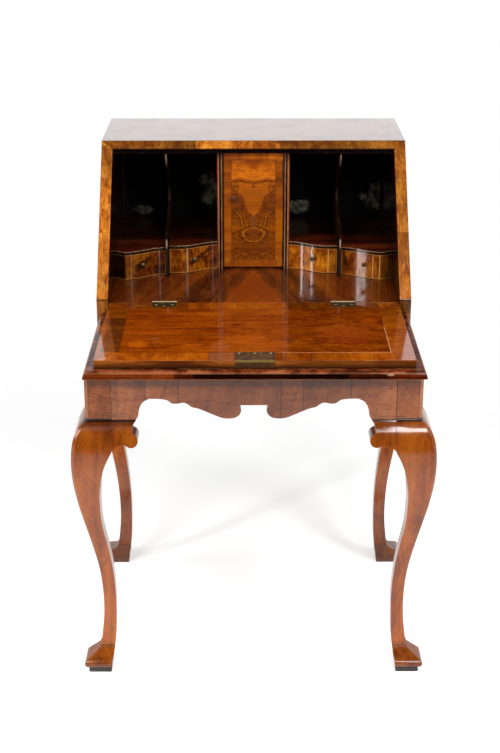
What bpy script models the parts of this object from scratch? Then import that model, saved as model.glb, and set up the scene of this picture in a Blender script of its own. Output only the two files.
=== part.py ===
"""Walnut bureau on a cabriole-leg stand, standing open as a writing desk.

X is left to right, Y runs from the sitter to the back and Z is up, in metres.
The origin is on the floor under the middle of the open bureau.
"""

import math

import bmesh
import bpy
from mathutils import Matrix, Vector

# Case: two sides cut to a slope, a top over them, and a box below the writing bed
CASE_WIDTH = 0.580
CASE_DEPTH = 0.426
TOP_DEPTH = 0.220
SLOPE_RISE = 0.2526
CASE_BOX_DEPTH = 0.115
SIDE_THICKNESS = 0.021
TOP_THICKNESS = 0.0145
BACK_THICKNESS = 0.009
BED_THICKNESS = 0.014
BOTTOM_THICKNESS = 0.012
RAIL_THICKNESS = 0.018
SEAM = 0.0003
SLIDE_GAP = 0.0005
SWING_GAP = 0.0004
CUT_OVERRUN = 0.004
FINE_SMOOTH = 40
LEG_SMOOTH = 35

# Fall: a fielded board whose lip laps the slope edges when it is shut
FALL_THICKNESS = 0.027
FIELD_RISE = 0.0149
FIELD_LENGTH = 0.306
FIELD_SIDE_GAP = 0.0015
LIP_FLAT = 0.010
LIP_SIDE = 0.0175
LIP_END_FLAT = 0.013
LIP_END = 0.020
LIP_HEEL_GAP = 0.0116
LIP_STEPS = 5

# Fall hinges
HINGE_WIDTH = 0.045
HINGE_CENTRE = 0.165
HINGE_LEAF_LENGTH = 0.024
HINGE_PLATE = 0.0014
HINGE_EDGE_DROP = 0.012
HINGE_KNUCKLE = 0.0028
HINGE_MIDDLE_shares = (-0.16, 0.16)
KNUCKLE_SIDES = 16

# Lock
LOCK_WIDTH = 0.066
LOCK_REACH = 0.040
LOCK_PLATE = 0.0014
BOLT_WIDTH = 0.020
BOLT_THICKNESS = 0.004
BOLT_LENGTH = 0.026
BOLT_DEPTH = 0.0096
BOLT_TRAVEL = 0.012

# Lopers, the slides that carry the open fall
LOPER_WIDTH = 0.020
LOPER_HEIGHT = 0.045
LOPER_BACK_CLEARANCE = 0.037
LOPER_TRAVEL = 0.180
GUIDE_WEB = 0.010
LOPER_KNOB_RADIUS = 0.0075
LOPER_KNOB_LENGTH = 0.016

# Fitted interior, its depths measured from the front edge of the top
NEST_TOP_THICKNESS = 0.0118
NEST_TOP_SETBACK = 0.008
DIVIDER_CENTRE = 0.1681
DIVIDER_THICKNESS = 0.006
DIVIDER_TOP_ADVANCE = 0.002
DIVIDER_FOOT_ADVANCE = 0.035
DIVIDER_HOLLOW_SETBACK = 0.103
CUPBOARD_WALL_CENTRE = 0.06485
CUPBOARD_WALL_THICKNESS = 0.0117
CUPBOARD_WALL_SETBACK = 0.021
BEAD_STEPS = 7
SHELF_THICKNESS = 0.0055
SHELF_LIP = 0.002

# Small drawers
DRAWER_HEIGHT = 0.050
DRAWER_FRONT = 0.008
DRAWER_WALL = 0.004
DRAWER_FLOOR = 0.003
DRAWER_BACK_CLEARANCE = 0.017
INNER_DRAWER_RECESS = 0.0015
INNER_CREST_ADVANCE = 0.009
INNER_CREST_share = 0.75
OUTER_START_ADVANCE = 0.019
OUTER_CREST_ADVANCE = 0.0545
OUTER_RETURN_ADVANCE = 0.0425
OUTER_CREST_share = 0.80
OGEE_STEPS = 10
INNER_KNOB_share = 0.469
OUTER_KNOB_share = 0.433
DRAWER_KNOB_HEIGHT_share = 0.56
DRAWER_KNOB_RADIUS = 0.0045
DRAWER_KNOB_LENGTH = 0.0105

# Cupboard door
DOOR_THICKNESS = 0.010
DOOR_RECESS = 0.004
DOOR_SIDE_GAP = 0.0008
DOOR_BOTTOM_GAP = 0.003
DOOR_TOP_GAP = 0.0012
DOOR_KNOB_INSET = 0.0184
DOOR_KNOB_HEIGHT_share = 0.612
DOOR_KNOB_RADIUS = 0.006
DOOR_KNOB_LENGTH = 0.0105
DOOR_HINGE_LENGTH = 0.030
DOOR_HINGE_PLATE = 0.001
DOOR_HINGE_LEAF = 0.007
DOOR_HINGE_KNUCKLE = 0.0017
DOOR_HINGE_PROUD = 0.0006
DOOR_HINGE_HEIGHT_shares = (0.145, 0.855)

# Stand
STAND_MARGIN = 0.0275
FRAME_HEIGHT = 0.6355
WAIST_HEIGHT = 0.021
WAIST_SETBACK = 0.001
WAIST_FILLET = 0.004
WAIST_TOP_LEDGE = 0.003
WAIST_INNER = 0.025
WAIST_STEPS = 7
APRON_DEPTH = 0.092
APRON_THICKNESS = 0.020
BACK_RAIL_DEPTH = 0.060
POST_WIDTH = 0.050
KNEE_SWELL = 0.0275
ANKLE_HEIGHT = 0.049
PAD_HEIGHT = 0.0133
PAD_WIDTH = 0.045
PAD_SETBACK = 0.0077
PAD_CHAMFER = 0.0015
FOOT_REACH = 0.047
FOOT_HEEL = 0.0078
POST_ARRIS = 0.007
FOOT_ARRIS = 0.002
LEG_STEPS = 3

# Lower edge of the aprons
SPANDREL = 0.0455
ARCH_RISE = 0.0423
ARCH_RUN = 0.026
CURVE_STEPS = 3

# Scroll brackets under the knees
EAR_LENGTH = 0.0495
EAR_DROP = 0.0545
EAR_SCROLL = 0.013
EAR_SCROLL_STEPS = 9

# Height share down the leg, swell share, inset share
LEG_shares = (
    (1.000, 0.000, 1.000), (0.974, 0.470, 1.000), (0.932, 0.820, 1.000),
    (0.890, 0.950, 1.000), (0.865, 0.985, 0.740), (0.835, 1.000, 0.440),
    (0.800, 0.985, 0.170), (0.737, 0.890, -0.110), (0.650, 0.630, -0.190),
    (0.550, 0.235, -0.080), (0.440, -0.200, 0.310), (0.340, -0.520, 0.590),
    (0.240, -0.680, 0.740), (0.140, -0.690, 0.740), (0.050, -0.535, 0.660),
    (0.000, -0.400, 0.530),
)
# Height share of the foot, reach share, inset share
FOOT_shares = (
    (0.99, 0.065, 0.00), (0.93, 0.065, 0.00), (0.91, 0.030, 0.00), (0.86, 0.100, 0.05),
    (0.70, 0.360, 0.30), (0.52, 0.720, 0.60), (0.42, 0.900, 0.80), (0.34, 0.975, 0.90),
    (0.22, 1.000, 1.00), (0.10, 0.975, 1.00), (0.02, 0.900, 1.00), (0.00, 0.840, 1.00),
)
# Share of the arch run, share of the arch rise
ARCH_shares = ((0.00, 1.00), (0.17, 0.81), (0.22, 0.58), (0.38, 0.30), (0.62, 0.12), (1.00, 0.00))
# Share of the half opening, share of the arch rise
CREST_shares = (
    (0.813, 0.000), (0.740, 0.050), (0.708, 0.165), (0.684, 0.230), (0.642, 0.230),
    (0.600, 0.187), (0.565, 0.240), (0.523, 0.400), (0.464, 0.480), (0.345, 0.757),
    (0.276, 0.905), (0.227, 0.943), (0.163, 0.915), (0.121, 0.757), (0.107, 0.540),
    (0.118, 0.360),
)
CREST_MIDDLE_share = 0.305
# Share of the bracket's length, share of its drop
EAR_TOP_shares = ((0.92, 0.00), (0.80, 0.16), (0.78, 0.36))
EAR_SCROLL_CENTRE_shares = (0.737, 0.624)
EAR_SCROLL_ARC = (70.0, -112.0)
EAR_UNDER_shares = ((0.50, 0.765), (0.38, 0.750), (0.22, 0.810), (0.09, 0.910), (0.00, 1.000))
# Share from the hollow to the front, share of the height above the nose
DIVIDER_DEEPEST_share = 0.32
DIVIDER_UPPER_shares = (
    (1.00, 1.00), (0.86, 0.88), (0.62, 0.73), (0.30, 0.56), (0.07, 0.42),
    (0.00, DIVIDER_DEEPEST_share),
    (0.06, 0.235), (0.38, 0.14), (0.80, 0.055), (1.00, 0.00),
)
DIVIDER_NOSE_HEIGHT = 0.072

# Turned knob: share of its length from the face it stands on, share of its radius
KNOB_shares = (
    (-0.50, 0.36), (0.10, 0.36), (0.40, 0.32), (0.52, 0.62), (0.62, 0.90), (0.74, 1.00),
    (0.86, 0.88), (0.95, 0.55), (1.00, 0.18),
)
KNOB_SIDES = 16

# Derived planes, all in world coordinates
SLOPE_RUN = CASE_DEPTH - TOP_DEPTH
SLOPE_ANGLE = math.atan2(SLOPE_RISE, SLOPE_RUN)
HINGE_INSET = FIELD_RISE - SEAM
KNEE_REACH = STAND_MARGIN + KNEE_SWELL
KNEE_HEIGHT = FRAME_HEIGHT - APRON_DEPTH
FALL_REACH = FIELD_LENGTH + LIP_END - HINGE_INSET * math.sin(SLOPE_ANGLE)
FRONT_Y = (FALL_REACH - CASE_DEPTH - KNEE_REACH) / 2
BACK_Y = FRONT_Y + CASE_DEPTH
CASE_BOTTOM_Z = FRAME_HEIGHT + WAIST_HEIGHT
SLOPE_FOOT_Z = CASE_BOTTOM_Z + CASE_BOX_DEPTH
TOP_Z = SLOPE_FOOT_Z + SLOPE_RISE
TOP_UNDER_Z = TOP_Z - TOP_THICKNESS
AXIS_Y = FRONT_Y + HINGE_INSET * math.sin(SLOPE_ANGLE)
AXIS_Z = SLOPE_FOOT_Z - HINGE_INSET * math.cos(SLOPE_ANGLE)
BED_Z = AXIS_Z
BED_UNDER_Z = BED_Z - BED_THICKNESS
BED_FRONT_Y = AXIS_Y + SWING_GAP
FALL_UNDER_Z = AXIS_Z - FALL_THICKNESS
FIELD_END_Y = AXIS_Y - FIELD_LENGTH
CASE_HALF = CASE_WIDTH / 2
INNER_HALF = CASE_HALF - SIDE_THICKNESS
BOARD_HALF = INNER_HALF - SEAM
INNER_BACK_Y = BACK_Y - BACK_THICKNESS
FIELD_HALF = INNER_HALF - FIELD_SIDE_GAP
LOPER_TOP_Z = FALL_UNDER_Z - SEAM
LOPER_UNDER_Z = LOPER_TOP_Z - LOPER_HEIGHT
LOPER_OUTER_X = INNER_HALF - SLIDE_GAP
LOPER_INNER_X = LOPER_OUTER_X - LOPER_WIDTH
LOPER_LENGTH = CASE_DEPTH - BACK_THICKNESS - LOPER_BACK_CLEARANCE
GUIDE_INNER_X = LOPER_INNER_X - SLIDE_GAP - GUIDE_WEB
BOTTOM_TOP_Z = CASE_BOTTOM_Z + BOTTOM_THICKNESS
NEST_UNDER_Z = TOP_UNDER_Z - SEAM - NEST_TOP_THICKNESS
TOP_FRONT_Y = FRONT_Y + SLOPE_RUN
NEST_FRONT_Y = TOP_FRONT_Y + NEST_TOP_SETBACK
SHELF_UNDER_Z = BED_Z + SLIDE_GAP + DRAWER_HEIGHT + SLIDE_GAP
WALL_INNER_X = CUPBOARD_WALL_CENTRE - CUPBOARD_WALL_THICKNESS / 2
WALL_OUTER_X = CUPBOARD_WALL_CENTRE + CUPBOARD_WALL_THICKNESS / 2
DIVIDER_INNER_X = DIVIDER_CENTRE - DIVIDER_THICKNESS / 2
DIVIDER_OUTER_X = DIVIDER_CENTRE + DIVIDER_THICKNESS / 2
DOOR_HALF = WALL_INNER_X - DOOR_SIDE_GAP
CUPBOARD_FRONT_Y = TOP_FRONT_Y + CUPBOARD_WALL_SETBACK
DOOR_FRONT_Y = CUPBOARD_FRONT_Y + DOOR_RECESS
DOOR_BOTTOM_Z = BED_Z + DOOR_BOTTOM_GAP
DOOR_TOP_Z = NEST_UNDER_Z - DOOR_TOP_GAP
DOOR_AXIS_X = WALL_INNER_X - DOOR_SIDE_GAP / 2
DOOR_AXIS_Y = DOOR_FRONT_Y - DOOR_HINGE_PROUD
POST_INSET = POST_WIDTH - STAND_MARGIN
PAD_OUTER = FOOT_REACH - PAD_SETBACK
FRAME_HALF = CASE_HALF + STAND_MARGIN
FRAME_FRONT_Y = FRONT_Y - STAND_MARGIN
FRAME_BACK_Y = BACK_Y + STAND_MARGIN
SIDES = (("left", -1), ("right", 1))
CORNERS = (
    ("front_left", -1, -1), ("front_right", 1, -1), ("rear_left", -1, 1), ("rear_right", 1, 1),
)


def clear_scene():
    for item in list(bpy.data.objects):
        bpy.data.objects.remove(item, do_unlink=True)


def make_material(name, colour, roughness, metallic=0.0):
    material = bpy.data.materials.new(name)
    material.use_nodes = True
    shader = material.node_tree.nodes["Principled BSDF"]
    shader.inputs["Base Color"].default_value = (*colour, 1.0)
    shader.inputs["Roughness"].default_value = roughness
    shader.inputs["Metallic"].default_value = metallic
    material.diffuse_color = (*colour, 1.0)
    return material


def make_materials():
    return {
        "veneer": make_material("walnut_veneer", (0.27, 0.085, 0.025), 0.25),
        "banding": make_material("walnut_crossbanding", (0.40, 0.15, 0.035), 0.28),
        "leg": make_material("walnut_solid", (0.36, 0.12, 0.04), 0.30),
        "dark": make_material("aged_inner_wood", (0.07, 0.035, 0.02), 0.60),
        "lining": make_material("oak_lining", (0.33, 0.19, 0.09), 0.65),
        "brass": make_material("aged_brass", (0.42, 0.29, 0.11), 0.38, 0.9),
        "pad": make_material("ebonised_pad", (0.045, 0.036, 0.030), 0.55),
    }


def carrier(name, location):
    """An empty on a joint's axis, which carries the pieces that move together."""
    empty = bpy.data.objects.new(name, None)
    empty.location = location
    bpy.context.scene.collection.objects.link(empty)
    return empty


def add_piece(name, bm, material=None, parent=None, smooth_angle=None):
    """Turn a mesh drawn in world coordinates into a named object."""
    bmesh.ops.recalc_face_normals(bm, faces=bm.faces)
    if parent:
        bm.transform(Matrix.Translation(-Vector(parent.location)))
    mesh = bpy.data.meshes.new(name)
    bm.to_mesh(mesh)
    bm.free()
    piece = bpy.data.objects.new(name, mesh)
    bpy.context.scene.collection.objects.link(piece)
    if material:
        mesh.materials.append(material)
    if smooth_angle:
        mesh.shade_smooth()
        mesh.set_sharp_from_angle(angle=math.radians(smooth_angle))
    piece.parent = parent
    return piece


def loft(rings, ring_shaped=False):
    """Skin rings of equally many points, capped at both ends or joined end to end."""
    bm = bmesh.new()
    rows = [[bm.verts.new(point) for point in ring] for ring in rings]
    pairs = list(zip(rows, rows[1:]))
    if ring_shaped:
        pairs.append((rows[-1], rows[0]))
    else:
        bm.faces.new(rows[0])
        bm.faces.new(rows[-1])
    for lower, upper in pairs:
        for index in range(len(lower)):
            after = (index + 1) % len(lower)
            bm.faces.new((lower[index], lower[after], upper[after], upper[index]))
    return bm


def box(x_range, y_range, z_range):
    corners = [(x, y) for x, y in zip((0, 1, 1, 0), (0, 0, 1, 1))]
    return loft([[(x_range[x], y_range[y], z) for x, y in corners] for z in z_range])


def prism(outline, axis, start, end):
    """Extrude a flat outline along X, Y or Z."""
    def place(first, second, along):
        return {
            "X": (along, first, second), "Y": (first, along, second), "Z": (first, second, along),
        }[axis]
    return loft([[place(first, second, along) for first, second in outline] for along in (start, end)])


def knob(length, radius, seat):
    """A knob turned about Y, its stem sunk behind the seat and its head towards the sitter."""
    rings = []
    for length_share, radius_share in KNOB_shares:
        y = seat[1] - length_share * length
        circle = arc((seat[0], seat[2]), radius * radius_share, 0, 360, KNOB_SIDES)[:-1]
        rings.append([(x, y, z) for x, z in circle])
    return loft(rings)


def knob_hole(length, radius, seat):
    """The blind hole that takes a knob's stem."""
    depth_share, stem_share = KNOB_shares[0]
    circle = arc((seat[0], seat[2]), radius * stem_share + SEAM, 0, 360, KNOB_SIDES)[:-1]
    return prism(circle, "Y", seat[1] - CUT_OVERRUN, seat[1] - depth_share * length + SEAM)


def smooth_curve(points, steps):
    """A curve through the points, in even steps between each two of them."""
    padded = [points[0], *points, points[-1]]
    curve = []
    for a, b, c, d in zip(padded, padded[1:], padded[2:], padded[3:]):
        for step in range(steps):
            t = step / steps
            weights = (-t + 2 * t**2 - t**3, 2 - 5 * t**2 + 3 * t**3, t + 4 * t**2 - 3 * t**3, t**3 - t**2)
            curve.append(tuple(
                sum(weight * value for weight, value in zip(weights, column)) / 2
                for column in zip(a, b, c, d)
            ))
    curve.append(tuple(points[-1]))
    return curve


def arc(centre, radius, start, end, steps):
    """Points on an arc, angles in degrees."""
    angles = [math.radians(start + (end - start) * step / steps) for step in range(steps + 1)]
    return [(centre[0] + radius * math.cos(a), centre[1] + radius * math.sin(a)) for a in angles]


def as_tool(piece):
    piece.hide_render = True
    piece.display_type = "WIRE"
    return piece


def combine(piece, operation, bm):
    """Cut, join or intersect a piece with another solid."""
    tool = as_tool(add_piece(f"{piece.name}_tool", bm))
    modifier = piece.modifiers.new(operation.lower(), "BOOLEAN")
    modifier.operation = operation
    modifier.solver = "EXACT"
    modifier.object = tool


def cut(piece, bm):
    combine(piece, "DIFFERENCE", bm)


def join(piece, bm):
    combine(piece, "UNION", bm)


def mirrored(side, low, high):
    """An X range given for the right-hand side, mirrored when side is -1."""
    return tuple(sorted((side * low, side * high)))


def on_slope(along, outward):
    """A (Y, Z) point measured along the shut fall from its axis and outward from its field."""
    cosine = math.cos(SLOPE_ANGLE)
    sine = math.sin(SLOPE_ANGLE)
    return AXIS_Y + along * cosine - outward * sine, AXIS_Z + along * sine + outward * cosine


def build_case(materials):
    under_y = FRONT_Y + SLOPE_RUN * (SLOPE_RISE - TOP_THICKNESS) / SLOPE_RISE
    joint_y = FRONT_Y + SLOPE_RUN * (SLOPE_RISE - TOP_THICKNESS - SEAM) / SLOPE_RISE
    side_outline = [
        (FRONT_Y, CASE_BOTTOM_Z), (BACK_Y, CASE_BOTTOM_Z), (BACK_Y, TOP_UNDER_Z - SEAM),
        (joint_y, TOP_UNDER_Z - SEAM), (FRONT_Y, SLOPE_FOOT_Z),
    ]
    for name, side in SIDES:
        add_piece(
            f"case_side_{name}", prism(side_outline, "X", side * INNER_HALF, side * CASE_HALF),
            materials["veneer"],
        )
    top_outline = [
        (under_y, TOP_UNDER_Z), (BACK_Y, TOP_UNDER_Z), (BACK_Y, TOP_Z), (TOP_FRONT_Y, TOP_Z),
    ]
    top = add_piece("case_top", prism(top_outline, "X", -CASE_HALF, CASE_HALF), materials["banding"])
    cut(top, bolt_mortise())
    add_piece(
        "case_back",
        box((-BOARD_HALF, BOARD_HALF), (INNER_BACK_Y, BACK_Y), (CASE_BOTTOM_Z, TOP_UNDER_Z - SEAM)),
        materials["dark"],
    )
    add_piece(
        "case_bottom",
        box(
            (-BOARD_HALF, BOARD_HALF), (FRONT_Y + RAIL_THICKNESS + SEAM, INNER_BACK_Y - SEAM),
            (CASE_BOTTOM_Z, BOTTOM_TOP_Z),
        ),
        materials["lining"],
    )
    bed = add_piece(
        "writing_bed",
        box((-BOARD_HALF, BOARD_HALF), (BED_FRONT_Y, INNER_BACK_Y - SEAM), (BED_UNDER_Z, BED_Z)),
        materials["veneer"],
    )
    for _, side in SIDES:
        cut(bed, hinge_pocket(side))
    build_front_rail(materials)


def bolt_mortise():
    """The slot in the top board's front edge that the lock bolt enters."""
    half = BOLT_THICKNESS / 2 + SLIDE_GAP
    start = FIELD_LENGTH - CUT_OVERRUN
    end = FIELD_LENGTH + BOLT_TRAVEL + SLIDE_GAP
    outline = [
        on_slope(along, BOLT_DEPTH + offset)
        for along, offset in ((start, -half), (end, -half), (end, half), (start, half))
    ]
    width = BOLT_WIDTH / 2 + SLIDE_GAP
    return prism(outline, "X", -width, width)


def hinge_pocket(side):
    """The notch in the bed's front edge for a hinge's knuckles and edge plate."""
    clear = HINGE_KNUCKLE + SWING_GAP
    plate = BED_FRONT_Y + HINGE_PLATE + 2 * SEAM
    drop = AXIS_Z - HINGE_EDGE_DROP - SEAM
    front = BED_FRONT_Y - CUT_OVERRUN
    top = AXIS_Z + CUT_OVERRUN
    outline = [
        (front, drop), (plate, drop), (plate, AXIS_Z - clear), (AXIS_Y + clear, AXIS_Z - clear),
        (AXIS_Y + clear, top), (front, top),
    ]
    half = HINGE_WIDTH / 2 + SEAM
    return prism(outline, "X", side * HINGE_CENTRE - half, side * HINGE_CENTRE + half)


def build_front_rail(materials):
    """The case front under the fall, notched at both ends for the lopers."""
    back = FRONT_Y + RAIL_THICKNESS
    under_fall = FALL_UNDER_Z - SWING_GAP
    outline = [
        (FRONT_Y, CASE_BOTTOM_Z), (back, CASE_BOTTOM_Z), (back, BED_UNDER_Z - SEAM),
        (BED_FRONT_Y, BED_UNDER_Z - SEAM), (BED_FRONT_Y, under_fall), (FRONT_Y, under_fall),
    ]
    rail = add_piece("front_rail", prism(outline, "X", -BOARD_HALF, BOARD_HALF), materials["veneer"])
    for _, side in SIDES:
        cut(rail, box(
            mirrored(side, LOPER_INNER_X - SLIDE_GAP, CASE_HALF),
            (FRONT_Y - CUT_OVERRUN, back + CUT_OVERRUN),
            (LOPER_UNDER_Z - SLIDE_GAP, BED_UNDER_Z + CUT_OVERRUN),
        ))


def build_loper_guides(materials):
    """Channels that hold the lopers between the case sides and the frame inside."""
    top = BED_UNDER_Z - SEAM
    kicker = LOPER_TOP_Z + SLIDE_GAP
    ledge = LOPER_UNDER_Z - SLIDE_GAP
    bottom = BOTTOM_TOP_Z + SEAM
    web = LOPER_INNER_X - SLIDE_GAP
    for name, side in SIDES:
        outline = [
            (side * GUIDE_INNER_X, bottom), (side * BOARD_HALF, bottom), (side * BOARD_HALF, ledge),
            (side * web, ledge), (side * web, kicker), (side * BOARD_HALF, kicker),
            (side * BOARD_HALF, top), (side * GUIDE_INNER_X, top),
        ]
        start = FRONT_Y + RAIL_THICKNESS + SEAM
        add_piece(
            f"loper_guide_{name}", prism(outline, "Y", start, INNER_BACK_Y - SEAM), materials["lining"],
        )


def build_lopers(materials):
    front = FRONT_Y - LOPER_TRAVEL
    middle_z = (LOPER_TOP_Z + LOPER_UNDER_Z) / 2
    for name, side in SIDES:
        middle_x = side * (LOPER_INNER_X + LOPER_OUTER_X) / 2
        slide = carrier(f"loper_{name}_slide", (middle_x, front, middle_z))
        loper = add_piece(
            f"loper_{name}",
            box(
                mirrored(side, LOPER_INNER_X, LOPER_OUTER_X), (front, front + LOPER_LENGTH),
                (LOPER_UNDER_Z, LOPER_TOP_Z),
            ),
            materials["leg"], slide,
        )
        join(loper, knob(LOPER_KNOB_LENGTH, LOPER_KNOB_RADIUS, (middle_x, front, middle_z)))


def lip_section(steps):
    """Shares of the lip's overhang and of its thickness, round from the flat to the edge."""
    angles = [math.pi / 2 * (1 - step / steps) for step in range(steps + 1)]
    return [(math.cos(angle), 1 - math.sin(angle)) for angle in angles]


def build_fall(materials):
    hinge_line = carrier("fall_axis", (0, AXIS_Y, AXIS_Z))
    heel_y = AXIS_Y - SWING_GAP
    lip_heel_y = AXIS_Y - LIP_HEEL_GAP
    lip_top_z = AXIS_Z - FIELD_RISE
    lip_thickness = FALL_THICKNESS - FIELD_RISE

    def ring(half, end_y, z):
        """The board's outline: narrow at the heel between the sides, wider at the lip."""
        return [
            (-FIELD_HALF, heel_y, z), (FIELD_HALF, heel_y, z), (FIELD_HALF, lip_heel_y, z),
            (half, lip_heel_y, z), (half, end_y, z), (-half, end_y, z), (-half, lip_heel_y, z),
            (-FIELD_HALF, lip_heel_y, z),
        ]

    field = [
        (-FIELD_HALF, heel_y), (FIELD_HALF, heel_y), (FIELD_HALF, FIELD_END_Y),
        (-FIELD_HALF, FIELD_END_Y),
    ]
    rings = []
    for out, down in lip_section(LIP_STEPS):
        half = FIELD_HALF + LIP_FLAT + out * (LIP_SIDE - LIP_FLAT)
        end_y = FIELD_END_Y - LIP_END_FLAT - out * (LIP_END - LIP_END_FLAT)
        rings.append(ring(half, end_y, lip_top_z - down * lip_thickness))
    board = add_piece("fall_board", loft(rings), materials["veneer"], hinge_line, FINE_SMOOTH)
    join(board, prism(field, "Z", lip_top_z - lip_thickness / 2, AXIS_Z))
    for _, side in SIDES:
        cut(board, leaf_pocket(side))
    cut(board, lock_recess())
    cut(board, bolt_slot(FIELD_END_Y - CUT_OVERRUN))
    build_fall_hinges(materials, hinge_line)
    build_lock(materials, hinge_line)


def leaf_pocket(side):
    """The recess in the field for a hinge leaf and its knuckles."""
    clear = HINGE_KNUCKLE + SWING_GAP
    back = AXIS_Y + CUT_OVERRUN
    top = AXIS_Z + CUT_OVERRUN
    floor = AXIS_Z - HINGE_PLATE - SEAM
    end = AXIS_Y - HINGE_LEAF_LENGTH - SEAM
    outline = [
        (back, top), (back, AXIS_Z - clear), (AXIS_Y - clear, AXIS_Z - clear),
        (AXIS_Y - clear, floor), (end, floor), (end, top),
    ]
    half = HINGE_WIDTH / 2 + SEAM
    return prism(outline, "X", side * HINGE_CENTRE - half, side * HINGE_CENTRE + half)


def lock_recess():
    """The shallow seat that lets the lock plate lie flush on the field and on its edge."""
    depth = LOCK_PLATE + SEAM
    top = AXIS_Z + CUT_OVERRUN
    back = FIELD_END_Y + LOCK_REACH + SEAM
    front = FIELD_END_Y - CUT_OVERRUN
    lip = AXIS_Z - FIELD_RISE
    outline = [
        (back, top), (back, AXIS_Z - depth), (FIELD_END_Y + depth, AXIS_Z - depth),
        (FIELD_END_Y + depth, lip), (front, lip), (front, top),
    ]
    half = LOCK_WIDTH / 2 + SEAM
    return prism(outline, "X", -half, half)


def bolt_slot(front):
    """The slot that the lock bolt runs in, open towards the free end of the fall."""
    half = BOLT_THICKNESS / 2 + SEAM
    middle = AXIS_Z - BOLT_DEPTH
    width = BOLT_WIDTH / 2 + SEAM
    back = FIELD_END_Y + BOLT_LENGTH + SEAM
    return box((-width, width), (front, back), (middle - half, middle + half))


def build_fall_hinges(materials, hinge_line):
    low, high = (share * HINGE_WIDTH for share in HINGE_MIDDLE_shares)
    clear = HINGE_KNUCKLE + SWING_GAP
    knuckle = arc((AXIS_Y, AXIS_Z), HINGE_KNUCKLE, 0, 360, KNUCKLE_SIDES)[:-1]
    half = HINGE_WIDTH / 2
    for name, side in SIDES:
        centre = side * HINGE_CENTRE
        leaf_end = AXIS_Y - HINGE_LEAF_LENGTH
        leaf = [
            (centre - half, leaf_end), (centre + half, leaf_end), (centre + half, AXIS_Y - clear),
            (centre + high, AXIS_Y - clear), (centre + high, AXIS_Y), (centre + low, AXIS_Y),
            (centre + low, AXIS_Y - clear), (centre - half, AXIS_Y - clear),
        ]
        moving = add_piece(
            f"fall_hinge_leaf_{name}", prism(leaf, "Z", AXIS_Z - HINGE_PLATE, AXIS_Z),
            materials["brass"], hinge_line, FINE_SMOOTH,
        )
        join(moving, prism(knuckle, "X", centre + low, centre + high))
        plate_front = BED_FRONT_Y + SEAM
        plate_back = plate_front + HINGE_PLATE
        foot = AXIS_Z - HINGE_EDGE_DROP
        neck = AXIS_Z - clear
        plate = [
            (centre - half, foot), (centre + half, foot), (centre + half, AXIS_Z),
            (centre + high + SWING_GAP, AXIS_Z), (centre + high + SWING_GAP, neck),
            (centre + low - SWING_GAP, neck), (centre + low - SWING_GAP, AXIS_Z),
            (centre - half, AXIS_Z),
        ]
        fixed = add_piece(
            f"bed_hinge_leaf_{name}", prism(plate, "Y", plate_front, plate_back),
            materials["brass"], None, FINE_SMOOTH,
        )
        join(fixed, prism(knuckle, "X", centre - half, centre + low - SWING_GAP))
        join(fixed, prism(knuckle, "X", centre + high + SWING_GAP, centre + half))


def build_lock(materials, hinge_line):
    """A lock plate that turns down over the field's end, and the bolt that shoots through it."""
    back = FIELD_END_Y + LOCK_REACH
    lip = AXIS_Z - FIELD_RISE + SEAM
    outline = [
        (back, AXIS_Z), (back, AXIS_Z - LOCK_PLATE), (FIELD_END_Y + LOCK_PLATE, AXIS_Z - LOCK_PLATE),
        (FIELD_END_Y + LOCK_PLATE, lip), (FIELD_END_Y, lip), (FIELD_END_Y, AXIS_Z),
    ]
    plate = add_piece(
        "lock_plate", prism(outline, "X", -LOCK_WIDTH / 2, LOCK_WIDTH / 2), materials["brass"],
        hinge_line,
    )
    cut(plate, bolt_slot(FIELD_END_Y - CUT_OVERRUN))
    middle = AXIS_Z - BOLT_DEPTH
    bolt_line = carrier("lock_bolt_slide", (0, FIELD_END_Y - AXIS_Y, -BOLT_DEPTH))
    bolt_line.parent = hinge_line
    bm = box(
        (-BOLT_WIDTH / 2, BOLT_WIDTH / 2), (FIELD_END_Y, FIELD_END_Y + BOLT_LENGTH),
        (middle - BOLT_THICKNESS / 2, middle + BOLT_THICKNESS / 2),
    )
    bm.transform(Matrix.Translation(-Vector(hinge_line.location)))
    add_piece("lock_bolt", bm, materials["brass"], bolt_line)


def divider_outline():
    """Side view of a shaped divider: hollowed above, with a rounded nose over the drawers."""
    nose_z = SLOPE_FOOT_Z + DIVIDER_NOSE_HEIGHT
    top_y = TOP_FRONT_Y - DIVIDER_TOP_ADVANCE
    foot_y = TOP_FRONT_Y - DIVIDER_FOOT_ADVANCE
    hollow_y = TOP_FRONT_Y + DIVIDER_HOLLOW_SETBACK
    top = NEST_UNDER_Z - SEAM
    front = []
    for out, up in smooth_curve(DIVIDER_UPPER_shares, CURVE_STEPS):
        reach_y = top_y if up > DIVIDER_DEEPEST_share else foot_y
        front.append((hollow_y + out * (reach_y - hollow_y), nose_z + up * (top - nose_z)))
    front.append((foot_y, BED_Z + SEAM))
    return front + [(INNER_BACK_Y - SEAM, BED_Z + SEAM), (INNER_BACK_Y - SEAM, top)]


def cupboard_wall_outline(side):
    """Plan of a cupboard wall, its front edge reeded with two beads."""
    bead = CUPBOARD_WALL_THICKNESS / 4
    front_y = CUPBOARD_FRONT_Y + bead
    beads = []
    for share in (-1, 1):
        centre = side * (CUPBOARD_WALL_CENTRE + side * share * bead)
        beads += arc((centre, front_y), bead, 180, 360, BEAD_STEPS)[1 if share > 0 else 0:]
    return beads + [(beads[-1][0], INNER_BACK_Y - SEAM), (beads[0][0], INNER_BACK_Y - SEAM)]


def ogee(start, end, steps):
    """Plan points of a drawer front that swings from one depth to another."""
    points = []
    for step in range(steps + 1):
        t = step / steps
        ease = 3 * t**2 - 2 * t**3
        points.append((start[0] + t * (end[0] - start[0]), start[1] + ease * (end[1] - start[1])))
    return points


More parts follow.
